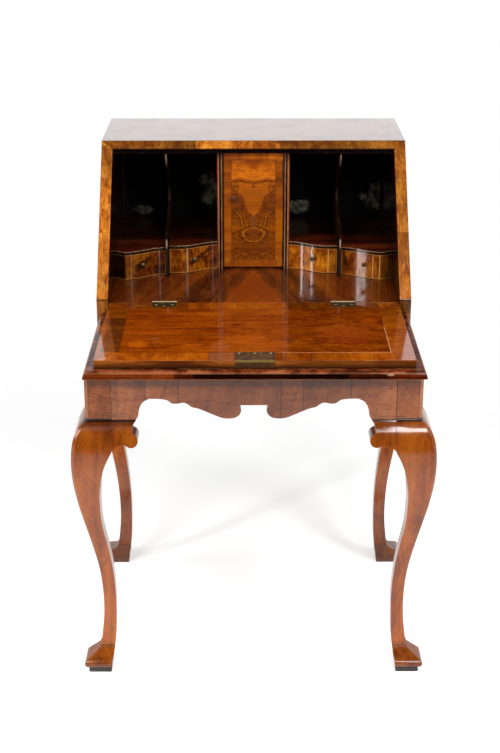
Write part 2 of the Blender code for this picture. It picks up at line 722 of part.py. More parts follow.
def inner_front(low, high):
    """Front curve of the drawer beside the cupboard, from the cupboard to the divider."""
    crest_x = low + INNER_CREST_share * (high - low)
    crest_y = TOP_FRONT_Y - INNER_CREST_ADVANCE
    return ogee((low, CUPBOARD_FRONT_Y + INNER_DRAWER_RECESS), (crest_x, crest_y), OGEE_STEPS) + [(high, crest_y)]


def outer_front(low, high):
    """Front curve of the drawer at the case side, from the divider to the side."""
    crest = (low + OUTER_CREST_share * (high - low), TOP_FRONT_Y - OUTER_CREST_ADVANCE)
    return ogee((low, TOP_FRONT_Y - OUTER_START_ADVANCE), crest, OGEE_STEPS) + [
        (high, TOP_FRONT_Y - OUTER_RETURN_ADVANCE),
    ]


DRAWER_BAYS = (
    ("inner", inner_front, WALL_OUTER_X, DIVIDER_INNER_X, INNER_KNOB_share),
    ("outer", outer_front, DIVIDER_OUTER_X, INNER_HALF, OUTER_KNOB_share),
)


def depth_at(front, x):
    """Y of a front curve at one X."""
    for (x0, y0), (x1, y1) in zip(front, front[1:]):
        if x0 <= x <= x1:
            return y0 + (y1 - y0) * (x - x0) / (x1 - x0)
    return front[-1][1]


def build_shelf(name, side, front_curve, low, high, materials):
    front = front_curve(low + SEAM, high - SEAM)
    back = INNER_BACK_Y - SEAM
    outline = [(side * x, y - SHELF_LIP) for x, y in front]
    outline += [(outline[-1][0], back), (outline[0][0], back)]
    add_piece(
        f"{name}_shelf", prism(outline, "Z", SHELF_UNDER_Z, SHELF_UNDER_Z + SHELF_THICKNESS),
        materials["dark"],
    )


def build_drawer(name, side, front_curve, low, high, knob_share, materials):
    front = front_curve(low + SLIDE_GAP, high - SLIDE_GAP)
    knob_x = front[0][0] + knob_share * (front[-1][0] - front[0][0])
    floor_z = BED_Z + SLIDE_GAP
    knob_z = floor_z + DRAWER_KNOB_HEIGHT_share * DRAWER_HEIGHT
    knob_y = depth_at(front, knob_x)
    seat = (side * knob_x, knob_y, knob_z)
    slide = carrier(f"{name}_slide", seat)
    back = INNER_BACK_Y - DRAWER_BACK_CLEARANCE
    middle = (front[0][0] + front[-1][0]) / 2
    inside_share = 1 - DRAWER_WALL / (front[-1][0] - middle)
    outer = [(side * x, y) for x, y in front] + [(side * front[-1][0], back), (side * front[0][0], back)]
    inner = [(side * (middle + inside_share * (x - middle)), y + DRAWER_FRONT) for x, y in front]
    inner += [(inner[-1][0], back - DRAWER_WALL), (inner[0][0], back - DRAWER_WALL)]
    levels = (
        (outer, floor_z), (outer, floor_z + DRAWER_HEIGHT), (inner, floor_z + DRAWER_HEIGHT),
        (inner, floor_z + DRAWER_FLOOR),
    )
    rings = [[(x, y, z) for x, y in outline] for outline, z in levels]
    drawer = add_piece(name, loft(rings), materials["veneer"], slide)
    cut(drawer, knob_hole(DRAWER_KNOB_LENGTH, DRAWER_KNOB_RADIUS, seat))
    add_piece(
        f"{name}_knob", knob(DRAWER_KNOB_LENGTH, DRAWER_KNOB_RADIUS, seat), materials["brass"],
        slide, FINE_SMOOTH,
    )


def build_interior(materials):
    add_piece(
        "nest_top",
        box(
            (-BOARD_HALF, BOARD_HALF), (NEST_FRONT_Y, INNER_BACK_Y - SEAM),
            (NEST_UNDER_Z, TOP_UNDER_Z - SEAM),
        ),
        materials["dark"],
    )
    for name, side in SIDES:
        add_piece(
            f"divider_{name}",
            prism(divider_outline(), "X", side * DIVIDER_INNER_X, side * DIVIDER_OUTER_X),
            materials["veneer"],
        )
        wall = add_piece(
            f"cupboard_wall_{name}",
            prism(cupboard_wall_outline(side), "Z", BED_Z + SEAM, NEST_UNDER_Z - SEAM),
            materials["veneer"], None, FINE_SMOOTH,
        )
        if side > 0:
            for centre_z in door_hinge_levels():
                cut(wall, wall_leaf_pocket(centre_z))
        for place, front_curve, low, high, knob_share in DRAWER_BAYS:
            drawer = f"{place}_drawer_{name}"
            build_shelf(drawer, side, front_curve, low, high, materials)
            build_drawer(drawer, side, front_curve, low, high, knob_share, materials)


def door_hinge_levels():
    return [
        DOOR_BOTTOM_Z + share * (DOOR_TOP_Z - DOOR_BOTTOM_Z) for share in DOOR_HINGE_HEIGHT_shares
    ]


def wall_leaf_pocket(centre_z):
    """The notch in the cupboard wall for a door hinge's knuckles and fixed leaf."""
    clear = DOOR_HINGE_KNUCKLE + SWING_GAP
    half = DOOR_HINGE_LENGTH / 2 + SEAM
    outside = WALL_INNER_X - CUT_OVERRUN
    leaf_x = WALL_INNER_X + DOOR_HINGE_PLATE + SEAM
    leaf_y = DOOR_AXIS_Y + DOOR_HINGE_LEAF + SEAM
    front = CUPBOARD_FRONT_Y - CUT_OVERRUN
    outline = [
        (outside, front), (DOOR_AXIS_X + clear, front), (DOOR_AXIS_X + clear, DOOR_AXIS_Y + clear),
        (leaf_x, DOOR_AXIS_Y + clear), (leaf_x, leaf_y), (outside, leaf_y),
    ]
    return prism(outline, "Z", centre_z - half, centre_z + half)


def door_leaf_pocket(centre_z):
    """The notch in the door's edge for a door hinge's knuckles and moving leaf."""
    clear = DOOR_HINGE_KNUCKLE + SWING_GAP
    half = DOOR_HINGE_LENGTH / 2 + SEAM
    outside = DOOR_HALF + CUT_OVERRUN
    leaf_x = DOOR_HALF - DOOR_HINGE_PLATE - SEAM
    leaf_y = DOOR_AXIS_Y + DOOR_HINGE_LEAF + SEAM
    front = DOOR_FRONT_Y - CUT_OVERRUN
    outline = [
        (outside, front), (DOOR_AXIS_X - clear, front), (DOOR_AXIS_X - clear, DOOR_AXIS_Y + clear),
        (leaf_x, DOOR_AXIS_Y + clear), (leaf_x, leaf_y), (outside, leaf_y),
    ]
    return prism(outline, "Z", centre_z - half, centre_z + half)


def build_door(materials):
    hinge_line = carrier("door_axis", (DOOR_AXIS_X, DOOR_AXIS_Y, DOOR_BOTTOM_Z))
    back = DOOR_FRONT_Y + DOOR_THICKNESS
    door = add_piece(
        "cupboard_door",
        box((-DOOR_HALF, DOOR_HALF), (DOOR_FRONT_Y, back), (DOOR_BOTTOM_Z, DOOR_TOP_Z)),
        materials["veneer"], hinge_line,
    )
    knob_z = DOOR_BOTTOM_Z + DOOR_KNOB_HEIGHT_share * (DOOR_TOP_Z - DOOR_BOTTOM_Z)
    seat = (-DOOR_HALF + DOOR_KNOB_INSET, DOOR_FRONT_Y, knob_z)
    cut(door, knob_hole(DOOR_KNOB_LENGTH, DOOR_KNOB_RADIUS, seat))
    add_piece(
        "door_knob", knob(DOOR_KNOB_LENGTH, DOOR_KNOB_RADIUS, seat), materials["leg"], hinge_line,
        FINE_SMOOTH,
    )
    low, high = (share * DOOR_HINGE_LENGTH for share in HINGE_MIDDLE_shares)
    half = DOOR_HINGE_LENGTH / 2
    knuckle = arc((DOOR_AXIS_X, DOOR_AXIS_Y), DOOR_HINGE_KNUCKLE, 0, 360, KNUCKLE_SIDES)[:-1]
    for name, centre_z in zip(("lower", "upper"), door_hinge_levels()):
        cut(door, door_leaf_pocket(centre_z))
        build_door_leaf(f"door_hinge_leaf_{name}", centre_z, -1, materials, hinge_line)
        build_door_leaf(f"wall_hinge_leaf_{name}", centre_z, 1, materials, None)
        moving = bpy.data.objects[f"door_hinge_leaf_{name}"]
        fixed = bpy.data.objects[f"wall_hinge_leaf_{name}"]
        join(moving, prism(knuckle, "Z", centre_z + low, centre_z + high))
        join(fixed, prism(knuckle, "Z", centre_z - half, centre_z + low - SWING_GAP))
        join(fixed, prism(knuckle, "Z", centre_z + high + SWING_GAP, centre_z + half))


def build_door_leaf(name, centre_z, side, materials, parent):
    """The flat of a door hinge: side is -1 for the door's leaf and 1 for the wall's."""
    half = DOOR_HINGE_LENGTH / 2
    low, high = (share * DOOR_HINGE_LENGTH for share in HINGE_MIDDLE_shares)
    clear = DOOR_HINGE_KNUCKLE + SWING_GAP
    end = DOOR_AXIS_Y + DOOR_HINGE_LEAF
    neck = DOOR_AXIS_Y + clear
    if side < 0:
        tongues = [(end, -half), (end, half), (neck, half), (neck, high), (DOOR_AXIS_Y, high)]
        tongues += [(DOOR_AXIS_Y, low), (neck, low), (neck, -half)]
        face = DOOR_HALF
    else:
        inner_low = low - SWING_GAP
        inner_high = high + SWING_GAP
        tongues = [(end, -half), (end, half), (DOOR_AXIS_Y, half), (DOOR_AXIS_Y, inner_high)]
        tongues += [(neck, inner_high), (neck, inner_low), (DOOR_AXIS_Y, inner_low)]
        tongues += [(DOOR_AXIS_Y, -half)]
        face = WALL_INNER_X
    outline = [(y, centre_z + z) for y, z in tongues]
    add_piece(
        name, prism(outline, "X", face, face + side * DOOR_HINGE_PLATE), materials["brass"], parent,
        FINE_SMOOTH,
    )


def leg_profile():
    """Height, outward reach from the case side, and inset no deeper than the post, down the leg."""
    rows = []
    drop = KNEE_HEIGHT - ANKLE_HEIGHT
    for height, swell, inset in smooth_curve(LEG_shares, LEG_STEPS):
        rows.append((
            ANKLE_HEIGHT + height * drop, STAND_MARGIN + swell * KNEE_SWELL,
            min(inset, 1) * POST_INSET,
        ))
    ankle = rows[-1]
    sole = PAD_HEIGHT + SEAM
    for height, reach, inset in FOOT_shares:
        rows.append((
            sole + height * (ANKLE_HEIGHT - sole), ankle[1] + reach * (FOOT_REACH - ankle[1]),
            ankle[2] + inset * (FOOT_HEEL - ankle[2]),
        ))
    return rows


def arris_at(height):
    """Width of the canted outer corner, broad on the knee and narrow below it."""
    middle = (KNEE_HEIGHT + ANKLE_HEIGHT) / 2
    share = min(max((height - middle) / (KNEE_HEIGHT - middle), 0), 1)
    return FOOT_ARRIS + share * (POST_ARRIS - FOOT_ARRIS)


def corner_point(side, end, across, along):
    """A plan point at one corner of the case: outward in X, and outward in Y."""
    edge_y = FRONT_Y if end < 0 else BACK_Y
    return side * (CASE_HALF + across), edge_y + end * along


def build_leg(name, side, end, materials):
    rings = []
    for height, reach, inset in [(FRAME_HEIGHT, STAND_MARGIN, POST_INSET), *leg_profile()]:
        arris = arris_at(height)
        plan = [
            (-inset, -inset), (reach, -inset), (reach, reach - arris), (reach - arris, reach),
            (-inset, reach),
        ]
        rings.append([(*corner_point(side, end, across, along), height) for across, along in plan])
    add_piece(f"leg_{name}", loft(rings), materials["leg"], None, LEG_SMOOTH)
    inner = PAD_OUTER - PAD_WIDTH
    levels = ((0, PAD_CHAMFER), (PAD_CHAMFER, 0), (PAD_HEIGHT, 0))
    pad = []
    for height, chamfer in levels:
        low = inner + chamfer
        high = PAD_OUTER - chamfer
        plan = [(low, low), (high, low), (high, high), (low, high)]
        pad.append([(*corner_point(side, end, across, along), height) for across, along in plan])
    add_piece(f"foot_pad_{name}", loft(pad), materials["pad"])


def ear_outline():
    """Face view of a scroll bracket: distance from the post, and height."""
    top = KNEE_HEIGHT - SEAM
    upper = [(x * EAR_LENGTH, top - z * EAR_DROP) for x, z in smooth_curve(EAR_TOP_shares, CURVE_STEPS)]
    centre = (EAR_SCROLL_CENTRE_shares[0] * EAR_LENGTH, top - EAR_SCROLL_CENTRE_shares[1] * EAR_DROP)
    scroll = arc(centre, EAR_SCROLL, *EAR_SCROLL_ARC, EAR_SCROLL_STEPS)
    under = [
        (x * EAR_LENGTH, top - z * EAR_DROP) for x, z in smooth_curve(EAR_UNDER_shares, CURVE_STEPS)
    ]
    return [(0, top)] + upper + scroll + under


def knee_outline():
    """Side view of the knee's face above the bracket's foot: outward reach, and height."""
    inner = STAND_MARGIN - APRON_THICKNESS
    low = KNEE_HEIGHT - EAR_DROP - CUT_OVERRUN
    face = [(reach, height) for height, reach, _ in leg_profile() if height > low]
    face[0] = (face[0][0], KNEE_HEIGHT + CUT_OVERRUN)
    return [(inner, face[0][1]), *face, (inner, face[-1][1])]


def build_ear(name, side, end, faces_front, materials):
    """A bracket sawn to its scroll and shaped to the knee it stands beside."""
    start = -SEAM - POST_INSET
    depth = (0, KNEE_REACH + CUT_OVERRUN)
    scroll = []
    for across in depth:
        ring = []
        for away, height in ear_outline():
            plan = (start - away, across)
            ring.append((*corner_point(side, end, *(plan if faces_front else plan[::-1])), height))
        scroll.append(ring)
    ear = add_piece(name, loft(scroll), materials["leg"], None, LEG_SMOOTH)
    knee = []
    for away in (start + CUT_OVERRUN, start - EAR_LENGTH - CUT_OVERRUN):
        ring = []
        for across, height in knee_outline():
            plan = (away, across)
            ring.append((*corner_point(side, end, *(plan if faces_front else plan[::-1])), height))
        knee.append(ring)
    combine(ear, "INTERSECT", loft(knee))


def arch_edge(post_x):
    """Apron edge from a post to the top of its arch: distance from the middle, and height."""
    edge = [(post_x, KNEE_HEIGHT)]
    for run, drop in smooth_curve(ARCH_shares, CURVE_STEPS):
        edge.append((post_x - SPANDREL - run * ARCH_RUN, KNEE_HEIGHT + (1 - drop) * ARCH_RISE))
    return edge


def build_aprons(materials):
    post_x = CASE_HALF - POST_INSET - SEAM
    opening = post_x - SPANDREL
    half_edge = arch_edge(post_x)
    for along, drop in smooth_curve(CREST_shares, CURVE_STEPS):
        half_edge.append((along * opening, KNEE_HEIGHT + (1 - drop) * ARCH_RISE))
    half_edge.append((half_edge[-1][0], KNEE_HEIGHT + (1 - CREST_MIDDLE_share) * ARCH_RISE))
    outline = [(-x, z) for x, z in half_edge] + [(x, z) for x, z in reversed(half_edge)]
    outline += [(post_x, FRAME_HEIGHT), (-post_x, FRAME_HEIGHT)]
    add_piece(
        "front_apron", prism(outline, "Y", FRAME_FRONT_Y, FRAME_FRONT_Y + APRON_THICKNESS),
        materials["veneer"],
    )
    middle_y = (FRONT_Y + BACK_Y) / 2
    post_y = CASE_DEPTH / 2 - POST_INSET - SEAM
    side_edge = arch_edge(post_y)
    outline = [(middle_y - y, z) for y, z in side_edge]
    outline += [(middle_y + y, z) for y, z in reversed(side_edge)]
    outline += [(middle_y + post_y, FRAME_HEIGHT), (middle_y - post_y, FRAME_HEIGHT)]
    for name, side in SIDES:
        add_piece(
            f"side_apron_{name}",
            prism(outline, "X", side * (FRAME_HALF - APRON_THICKNESS), side * FRAME_HALF),
            materials["veneer"],
        )
    add_piece(
        "back_rail",
        box(
            (-post_x, post_x), (FRAME_BACK_Y - APRON_THICKNESS, FRAME_BACK_Y),
            (FRAME_HEIGHT - BACK_RAIL_DEPTH, FRAME_HEIGHT),
        ),
        materials["leg"],
    )


def build_waist_moulding(materials):
    """The mitred moulding on top of the stand that the case stands in."""
    low = FRAME_HEIGHT + SEAM
    high = CASE_BOTTOM_Z - SEAM
    outer = STAND_MARGIN - WAIST_SETBACK
    rise = high - low - WAIST_FILLET
    hollow = arc((1, 1), 1, 270, 180, WAIST_STEPS)
    profile = [(-WAIST_INNER, low), (outer, low)]
    for across, up in hollow:
        profile.append((
            WAIST_TOP_LEDGE + across * (outer - WAIST_TOP_LEDGE), low + WAIST_FILLET + up * rise,
        ))
    profile.append((-WAIST_INNER, high))
    rings = []
    for out, height in profile:
        rings.append([
            (*corner_point(side, end, out, out), height)
            for side, end in ((-1, -1), (1, -1), (1, 1), (-1, 1))
        ])
    add_piece("waist_moulding", loft(rings, ring_shaped=True), materials["banding"])


def build_stand(materials):
    for name, side, end in CORNERS:
        build_leg(name, side, end, materials)
        build_ear(f"side_knee_bracket_{name}", side, end, False, materials)
        if end < 0:
            build_ear(f"front_knee_bracket_{name}", side, end, True, materials)
    build_aprons(materials)
    build_waist_moulding(materials)


def build():
    clear_scene()
    materials = make_materials()
    build_stand(materials)
    build_case(materials)
    build_loper_guides(materials)
    build_lopers(materials)
    build_fall(materials)
    build_interior(materials)
    build_door(materials)


build()
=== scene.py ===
"""Looks of the walnut bureau on stand: materials, fittings, floor, light and camera."""

import math
from functools import partialmethod, reduce

import bmesh
import bpy
from mathutils import Matrix, Vector


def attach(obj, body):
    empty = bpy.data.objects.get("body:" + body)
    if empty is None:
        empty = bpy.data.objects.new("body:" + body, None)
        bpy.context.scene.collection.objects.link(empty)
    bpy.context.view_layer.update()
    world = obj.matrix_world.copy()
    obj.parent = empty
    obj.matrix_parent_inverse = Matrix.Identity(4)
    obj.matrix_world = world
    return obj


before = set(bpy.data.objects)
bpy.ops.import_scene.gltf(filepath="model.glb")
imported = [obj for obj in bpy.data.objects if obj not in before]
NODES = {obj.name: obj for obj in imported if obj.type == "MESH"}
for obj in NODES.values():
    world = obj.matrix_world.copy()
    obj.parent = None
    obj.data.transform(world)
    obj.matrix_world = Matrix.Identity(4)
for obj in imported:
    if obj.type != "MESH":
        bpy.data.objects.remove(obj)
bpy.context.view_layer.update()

# Places, in metres, as the CAD has them.
FRONT_Y, BACK_Y = -0.083157, 0.342843
TOP_FRONT_Y, TOP_Z, TOP_UNDER_Z = 0.122843, 1.0241, 1.0096
CASE_HALF, INNER_HALF = 0.29, 0.269
CASE_FOOT_Z, SLOPE_FOOT_Z, SLOPE_ANGLE = 0.6565, 0.7715, 0.886664
FIELD_HALF, FIELD_END_Y, FIELD_START_Y = 0.2675, -0.377843, -0.0722
BED_Z, FALL_UNDER_Z, FALL_END_Y, FALL_HALF = 0.762273, 0.735273, -0.397843, 0.285
LIP_TOP_Z, SHELF_TOP_Z, WALL_CENTRE_X, DIVIDER_X = 0.747373, 0.818773, 0.06485, 0.1681
FOOT_TOP_Z, KNEE_Z, FRAME_HALF = 0.0496, 0.5435, 0.3175
INLAY_HALF, INLAY_BACK_Y, INLAY_FRONT_Y = 0.2288, -0.1085, -0.3410
DOOR_CENTRE_Z, DOOR_HALF, DOOR_HALF_HEIGHT = 0.88079, 0.0582, 0.11551
DOOR_BAND, DRAWER_CENTRE_Z, DRAWER_HEIGHT = 0.0152, 0.78777, 0.0500


class Val:
    """One output of a material's tree. Sums and products of these add Math nodes."""

    def __init__(self, tree, socket):
        self.tree, self.socket = tree, socket

    def math(self, operation, *others):
        return self.tree.put("Math", self, *others, operation=operation)

    __add__ = __radd__ = partialmethod(math, "ADD")
    __mul__ = __rmul__ = partialmethod(math, "MULTIPLY")
    __sub__, __truediv__ = partialmethod(math, "SUBTRACT"), partialmethod(math, "DIVIDE")
    __abs__, root = partialmethod(math, "ABSOLUTE"), partialmethod(math, "SQRT")
    low, high = partialmethod(math, "MINIMUM"), partialmethod(math, "MAXIMUM")

    def __rsub__(self, other):
        return self.tree.put("Math", other, self, operation="SUBTRACT")

    def rise(self, start, end):
        """0 at start, 1 at end, smooth between, in either direction."""
        return self.tree.put("MapRange", self, start, end, 0.0, 1.0, interpolation_type="SMOOTHSTEP")

    def gate(self, low, high, soft=0.0003):
        """1 between low and high."""
        return self.rise(low - soft, low + soft) * self.rise(high + soft, high - soft)

    def line(self, place, half, soft):
        """1 within half of the place, 0 beyond that and soft."""
        return abs(self - place).rise(half + soft, half)


def linear(code):
    """A colour written as six hex digits, in linear light."""
    parts = [int(code[i : i + 2], 16) / 255 for i in (0, 2, 4)]
    return tuple(c / 12.92 if c <= 0.04045 else ((c + 0.055) / 1.055) ** 2.4 for c in parts) + (1.0,)


class Tree:
    """The node tree of a material or the world, with the object's own coordinates as x, y and z."""

    def __init__(self, name, world=None):
        self.material = world or bpy.data.materials.new(name)
        self.material.use_nodes = True
        self.nodes, self.links = self.material.node_tree.nodes, self.material.node_tree.links
        self.nodes.clear()
        self.place = self.source("TexCoord", "Object")
        self.x, self.y, self.z = self.split(self.place)
        turned = self.split(self.source("TexCoord", "Normal"))
        self.facing, self.backward = [abs(v) for v in turned], turned[1]

    @property
    def right(self):
        """0 on the left half of the object, 1 on the right half."""
        return self.x.rise(-0.1, 0.1)

    def feed(self, socket, value):
        """Sets a socket to a value or a colour, or joins it to another node's output."""
        if isinstance(value, Val):
            self.links.new(value.socket, socket)
        else:
            socket.default_value = linear(value) if isinstance(value, str) else value

    def put(self, kind, *values, out=0, fields=None, **settings):
        """A new node with these inputs, in their order or by name, and settings."""
        node = self.nodes.new("ShaderNode" + kind)
        for key, value in settings.items():
            setattr(node, key, value)
        for socket, value in zip(node.inputs, values):
            self.feed(socket, value)
        for key, value in (fields or {}).items():
            self.feed(node.inputs[key], value)
        return Val(self, node.outputs[out] if node.outputs else None)

    def source(self, kind, out):
        """An output of a node that has no inputs to set."""
        return self.put(kind, out=out)

    def split(self, vector):
        return [Val(self, socket) for socket in self.put("SeparateXYZ", vector).socket.node.outputs]

    def join(self, x, y, z):
        return self.put("CombineXYZ", x, y, z)

    def vector(self, place):
        """A place as one value: given as such, as three numbers, or as the order of the axes."""
        if isinstance(place, str):
            place = [{"x": self.x, "y": self.y, "z": self.z}[axis] for axis in place]
        return place if isinstance(place, Val) else self.join(*place)

    def read(self, place, scale, seed, sway=None):
        """Where to read a texture: the place scaled, and shifted by seed and sway."""
        scale = scale if isinstance(scale, tuple) else (scale, scale, scale)
        shift = (seed, 0.0, 0.0) if sway is None else self.join(seed, sway, 0.0)
        return self.put("VectorMath", self.vector(place), scale, shift, operation="MULTIPLY_ADD")

    def noise(self, place, scale, detail, seed, bend=0.0, sway=None):
        return self.put("TexNoise", fields={"Vector": self.read(place, scale, seed, sway), "Scale": 1.0,
                                            "Detail": detail, "Distortion": bend})

    def spots(self, place, scale, radius, share, seed):
        """Round spots one cell apart, kept in this share of the cells."""
        near = self.put("TexVoronoi", fields={"Vector": self.read(place, scale, seed), "Scale": 1.0})
        pick = self.split(Val(self, near.socket.node.outputs["Color"]))[0]
        return near.rise(radius, radius * 0.6) * pick.rise(1.0 - share, 1.0 - share * 0.8)

    def ramp(self, value, *stops, stepped=False):
        ramped = self.put("ValToRGB", value)
        band = ramped.socket.node.color_ramp
        band.interpolation = "CONSTANT" if stepped else "LINEAR"
        while len(band.elements) < len(stops):
            band.elements.new(0.5)
        for element, (place, _) in zip(band.elements, stops):
            element.position = place
        for element, (_, code) in zip(band.elements, stops):
            element.color = linear(code) if isinstance(code, str) else (code, code, code, 1.0)
        return ramped

    def steps(self, value, *stops):
        return self.ramp(value, *stops, stepped=True)

    def blend(self, share, under, over, kind="MIX"):
        return self.put("Mix", out=2, fields={0: share, 6: under, 7: over},
                        data_type="RGBA", blend_type=kind)

    def over(self, colour, *layers):
        """The colour under layers, each given as its share and its own colour."""
        for share, code in layers:
            colour = self.blend(share, colour, code)
        return colour

    def shade(self, colour, amount):
        """Colour times a plain number."""
        return self.blend(1.0, colour, self.join(amount, amount, amount), "MULTIPLY")

    def arris(self, radius=0.0012):
        """1 on edges between faces, 0 on flats."""
        flat = self.source("NewGeometry", "Normal")
        rounded = self.put("Bevel", radius, samples=4)
        return self.put("VectorMath", flat, rounded, operation="DOT_PRODUCT", out=1).rise(0.985, 0.86)

    def finish(self, colour, rough, height, depth=0.0002, coat=0.45, coat_rough=0.07, metal=0.0, level=0.5):
        """The material: one shader with these inputs, its surface raised by height."""
        bump = self.put("Bump", fields={"Strength": 1.0, "Distance": depth, "Height": height})
        self.put("OutputMaterial", self.put("BsdfPrincipled", fields={
            "Base Color": colour, "Roughness": rough, "Metallic": metal, "Coat Weight": coat,
            "Coat Roughness": coat_rough, "Specular IOR Level": level, "Normal": bump}))
        return self.material


# Dark, middle and light tone of each timber.
HONEY = ("6E3008", "A65A14", "D4882C")
BORDER = ("6A2504", "924206", "B4620E")
AMBER = ("64290A", "944C14", "B66C24")
FIELD = ("5E1F02", "8A3803", "A8520A")
RUSSET = ("240802", "4A1804", "642A0A")
LEG = ("662904", "984707", "B86312")
APRON = ("80401C", "AC5A2A", "C87840")
# These tones paint the interior wood nearly black: painted shade of the dark inside of the case.
SHADED_INTERIOR = ("0A0301", "180703", "280F05")
BED = ("2C0D02", "552104", "6E3008")
DRAWER = ("4A1602", "984404", "D08014")
DOOR = ("4E2004", "7C3A05", "9C5409")
DOOR_BORDER = ("5E2A05", "864006", "A4580C")
OAK = ("60421F", "8A6238", "A8804E")


def grain(t, place, seed, detail, contrast):
    """Tone from 0 to 1, pores and height of wood whose grain runs along the first coordinate."""
    place = t.vector(place)
    slow = t.noise(place, (5, 24, 24), 2.0, seed)
    ring = t.noise(place, (3, 120 * detail, 120 * detail), 1.0, seed + 3, sway=slow * 5)
    fibre = t.noise(place, (30, 620, 620), 1.0, seed + 7)
    pore = t.noise(place, (75, 1100, 1100), 0.0, seed + 11).rise(0.60, 0.74)
    spread = 0.17 / contrast
    mixed = (slow * 0.55 + ring * 0.28 + fibre * 0.17).rise(0.5 - spread, 0.5 + spread)
    return mixed, pore * 0.45, fibre * 0.5 - pore


def tint(t, mixed, pore, tones):
    return t.blend(pore, t.ramp(mixed, *zip((0.0, 0.5, 1.0), tones)), tones[0])


def timber(t, place, tones, seed, detail=1.0, contrast=1.0):
    """Colour and height of wood whose grain runs along the first coordinate of the place."""
    mixed, pore, height = grain(t, place, seed, detail, contrast)
    return tint(t, mixed, pore, tones), height


def burr(t, place, tones, seed, spread=0.14):
    """Colour and height of curly, mottled veneer with a slight grain along the first coordinate."""
    place = t.vector(place)
    swirl = t.noise(place, (16, 34, 34), 3.0, seed, 1.1)
    mottle = t.noise(place, (80, 210, 210), 2.0, seed + 5, 0.6)
    fibre = t.noise(place, (60, 640, 640), 1.0, seed + 9)
    mixed = (swirl * 0.5 + mottle * 0.34 + fibre * 0.16).rise(0.5 - spread, 0.5 + spread)
    colour = t.ramp(mixed, *zip((0.0, 0.5, 1.0), tones))
    fleck = t.spots(place, (110, 190, 190), 0.22, 0.10, seed)
    return t.blend(fleck * 0.7, colour, "2B1006"), fibre * 0.5 + mottle * 0.4 - fleck


def banding(t, across, along, depth, tones, length, seed):
    """Crossbanding: grain across the band, laid in tiles of slightly different tone."""
    place = along / length + seed
    tone = t.put("TexWhiteNoise", place.math("FLOOR") + seed * 7, noise_dimensions="1D")
    joint = abs(place.math("FRACT") - 0.5).rise(0.5 - 0.0005 / length, 0.5 - 0.0002 / length)
    colour, height = timber(t, (across + tone * 3, along, depth), tones, seed, 0.8, 1.25)
    colour = t.shade(colour, tone * 0.45 + 0.78)
    return t.blend(joint * 0.7, colour, "1E0C05"), height - joint


def joints(t, value, places, half=0.00035):
    """Thin lines at places, each with its own strength."""
    total = value * 0.0
    for place, strength in places:
        total = total.high(value.line(place, half, half) * strength)
    return total


def cracks(t, place, seed, gate):
    """Short hair cracks, here and there."""
    place = t.vector(place)
    edge = abs(t.noise(place, (22, 55, 55), 2.0, seed, 0.8) - 0.5).rise(0.006, 0.001)
    return edge * t.noise(place, 14, 0.0, seed + 31).rise(gate, gate + 0.05)


def blot(t, a, b, centre, half, turn=0.0, ragged=0.0):
    """A soft patch, half its length and width, turned by turn radians, its edge pushed by ragged."""
    p, q = a - centre[0], b - centre[1]
    c, s = math.cos(turn), math.sin(turn)
    along, cross = (p * c + q * s) / half[0], (q * c - p * s) / half[1]
    return ((along * along + cross * cross).root() + ragged).rise(1.15, 0.55)


def marks(t, a, b, colour, rows, scale, warp=0.6):
    """Patches in a row each: centre, half sizes, turn, strength and colour."""
    ragged = (t.noise((a, b, 0.0), scale, 2.0, 0.0) - 0.5) * (2 * warp)
    for centre, half, turn, strength, code in rows:
        colour = t.blend(blot(t, a, b, centre, half, turn, ragged) * strength, colour, code)
    return colour


def scuffs(t, seed, share):
    """Small pale specks and short scratches of an old polish, on a level surface."""
    speck = t.spots(t.place, (150, 240, 0), 0.20, share, seed)
    return speck.high(t.spots(t.place, (28, 620, 0), 0.16, share * 0.8, seed + 4))


def sheen(t, height, rough):
    """Roughness of old wax polish: cloudy, and duller in the pores."""
    spread = 0.16
    return t.noise(t.place, 26, 2.0, 40) * spread + (rough - spread / 2) - height * 0.05


def relief(t, height):
    """Grain height on a faint waviness of hand work."""
    return height * 0.12 + t.noise(t.place, 18, 0.0, 60) * 1.2


def close_up(t, colour, height, rough, wear_and_glint, coat=0.45, spared=None, level=0.5, coat_rough=0.07):
    """Worn arrises, sheen and relief, then the shader. Nothing is worn where spared is 1."""
    edge = t.arris()
    wear_and_highlight = edge * t.noise(t.place, 60, 2.0, 80).rise(0.42, 0.62) * wear_and_glint
    if spared is not None:
        wear_and_highlight = wear_and_highlight * (1 - spared)
    colour = t.blend(wear_and_highlight, colour, "C99A63")
    rough = sheen(t, height, rough) + edge * 0.1
    return t.finish(colour, rough, relief(t, height), coat=coat, coat_rough=coat_rough, level=level)


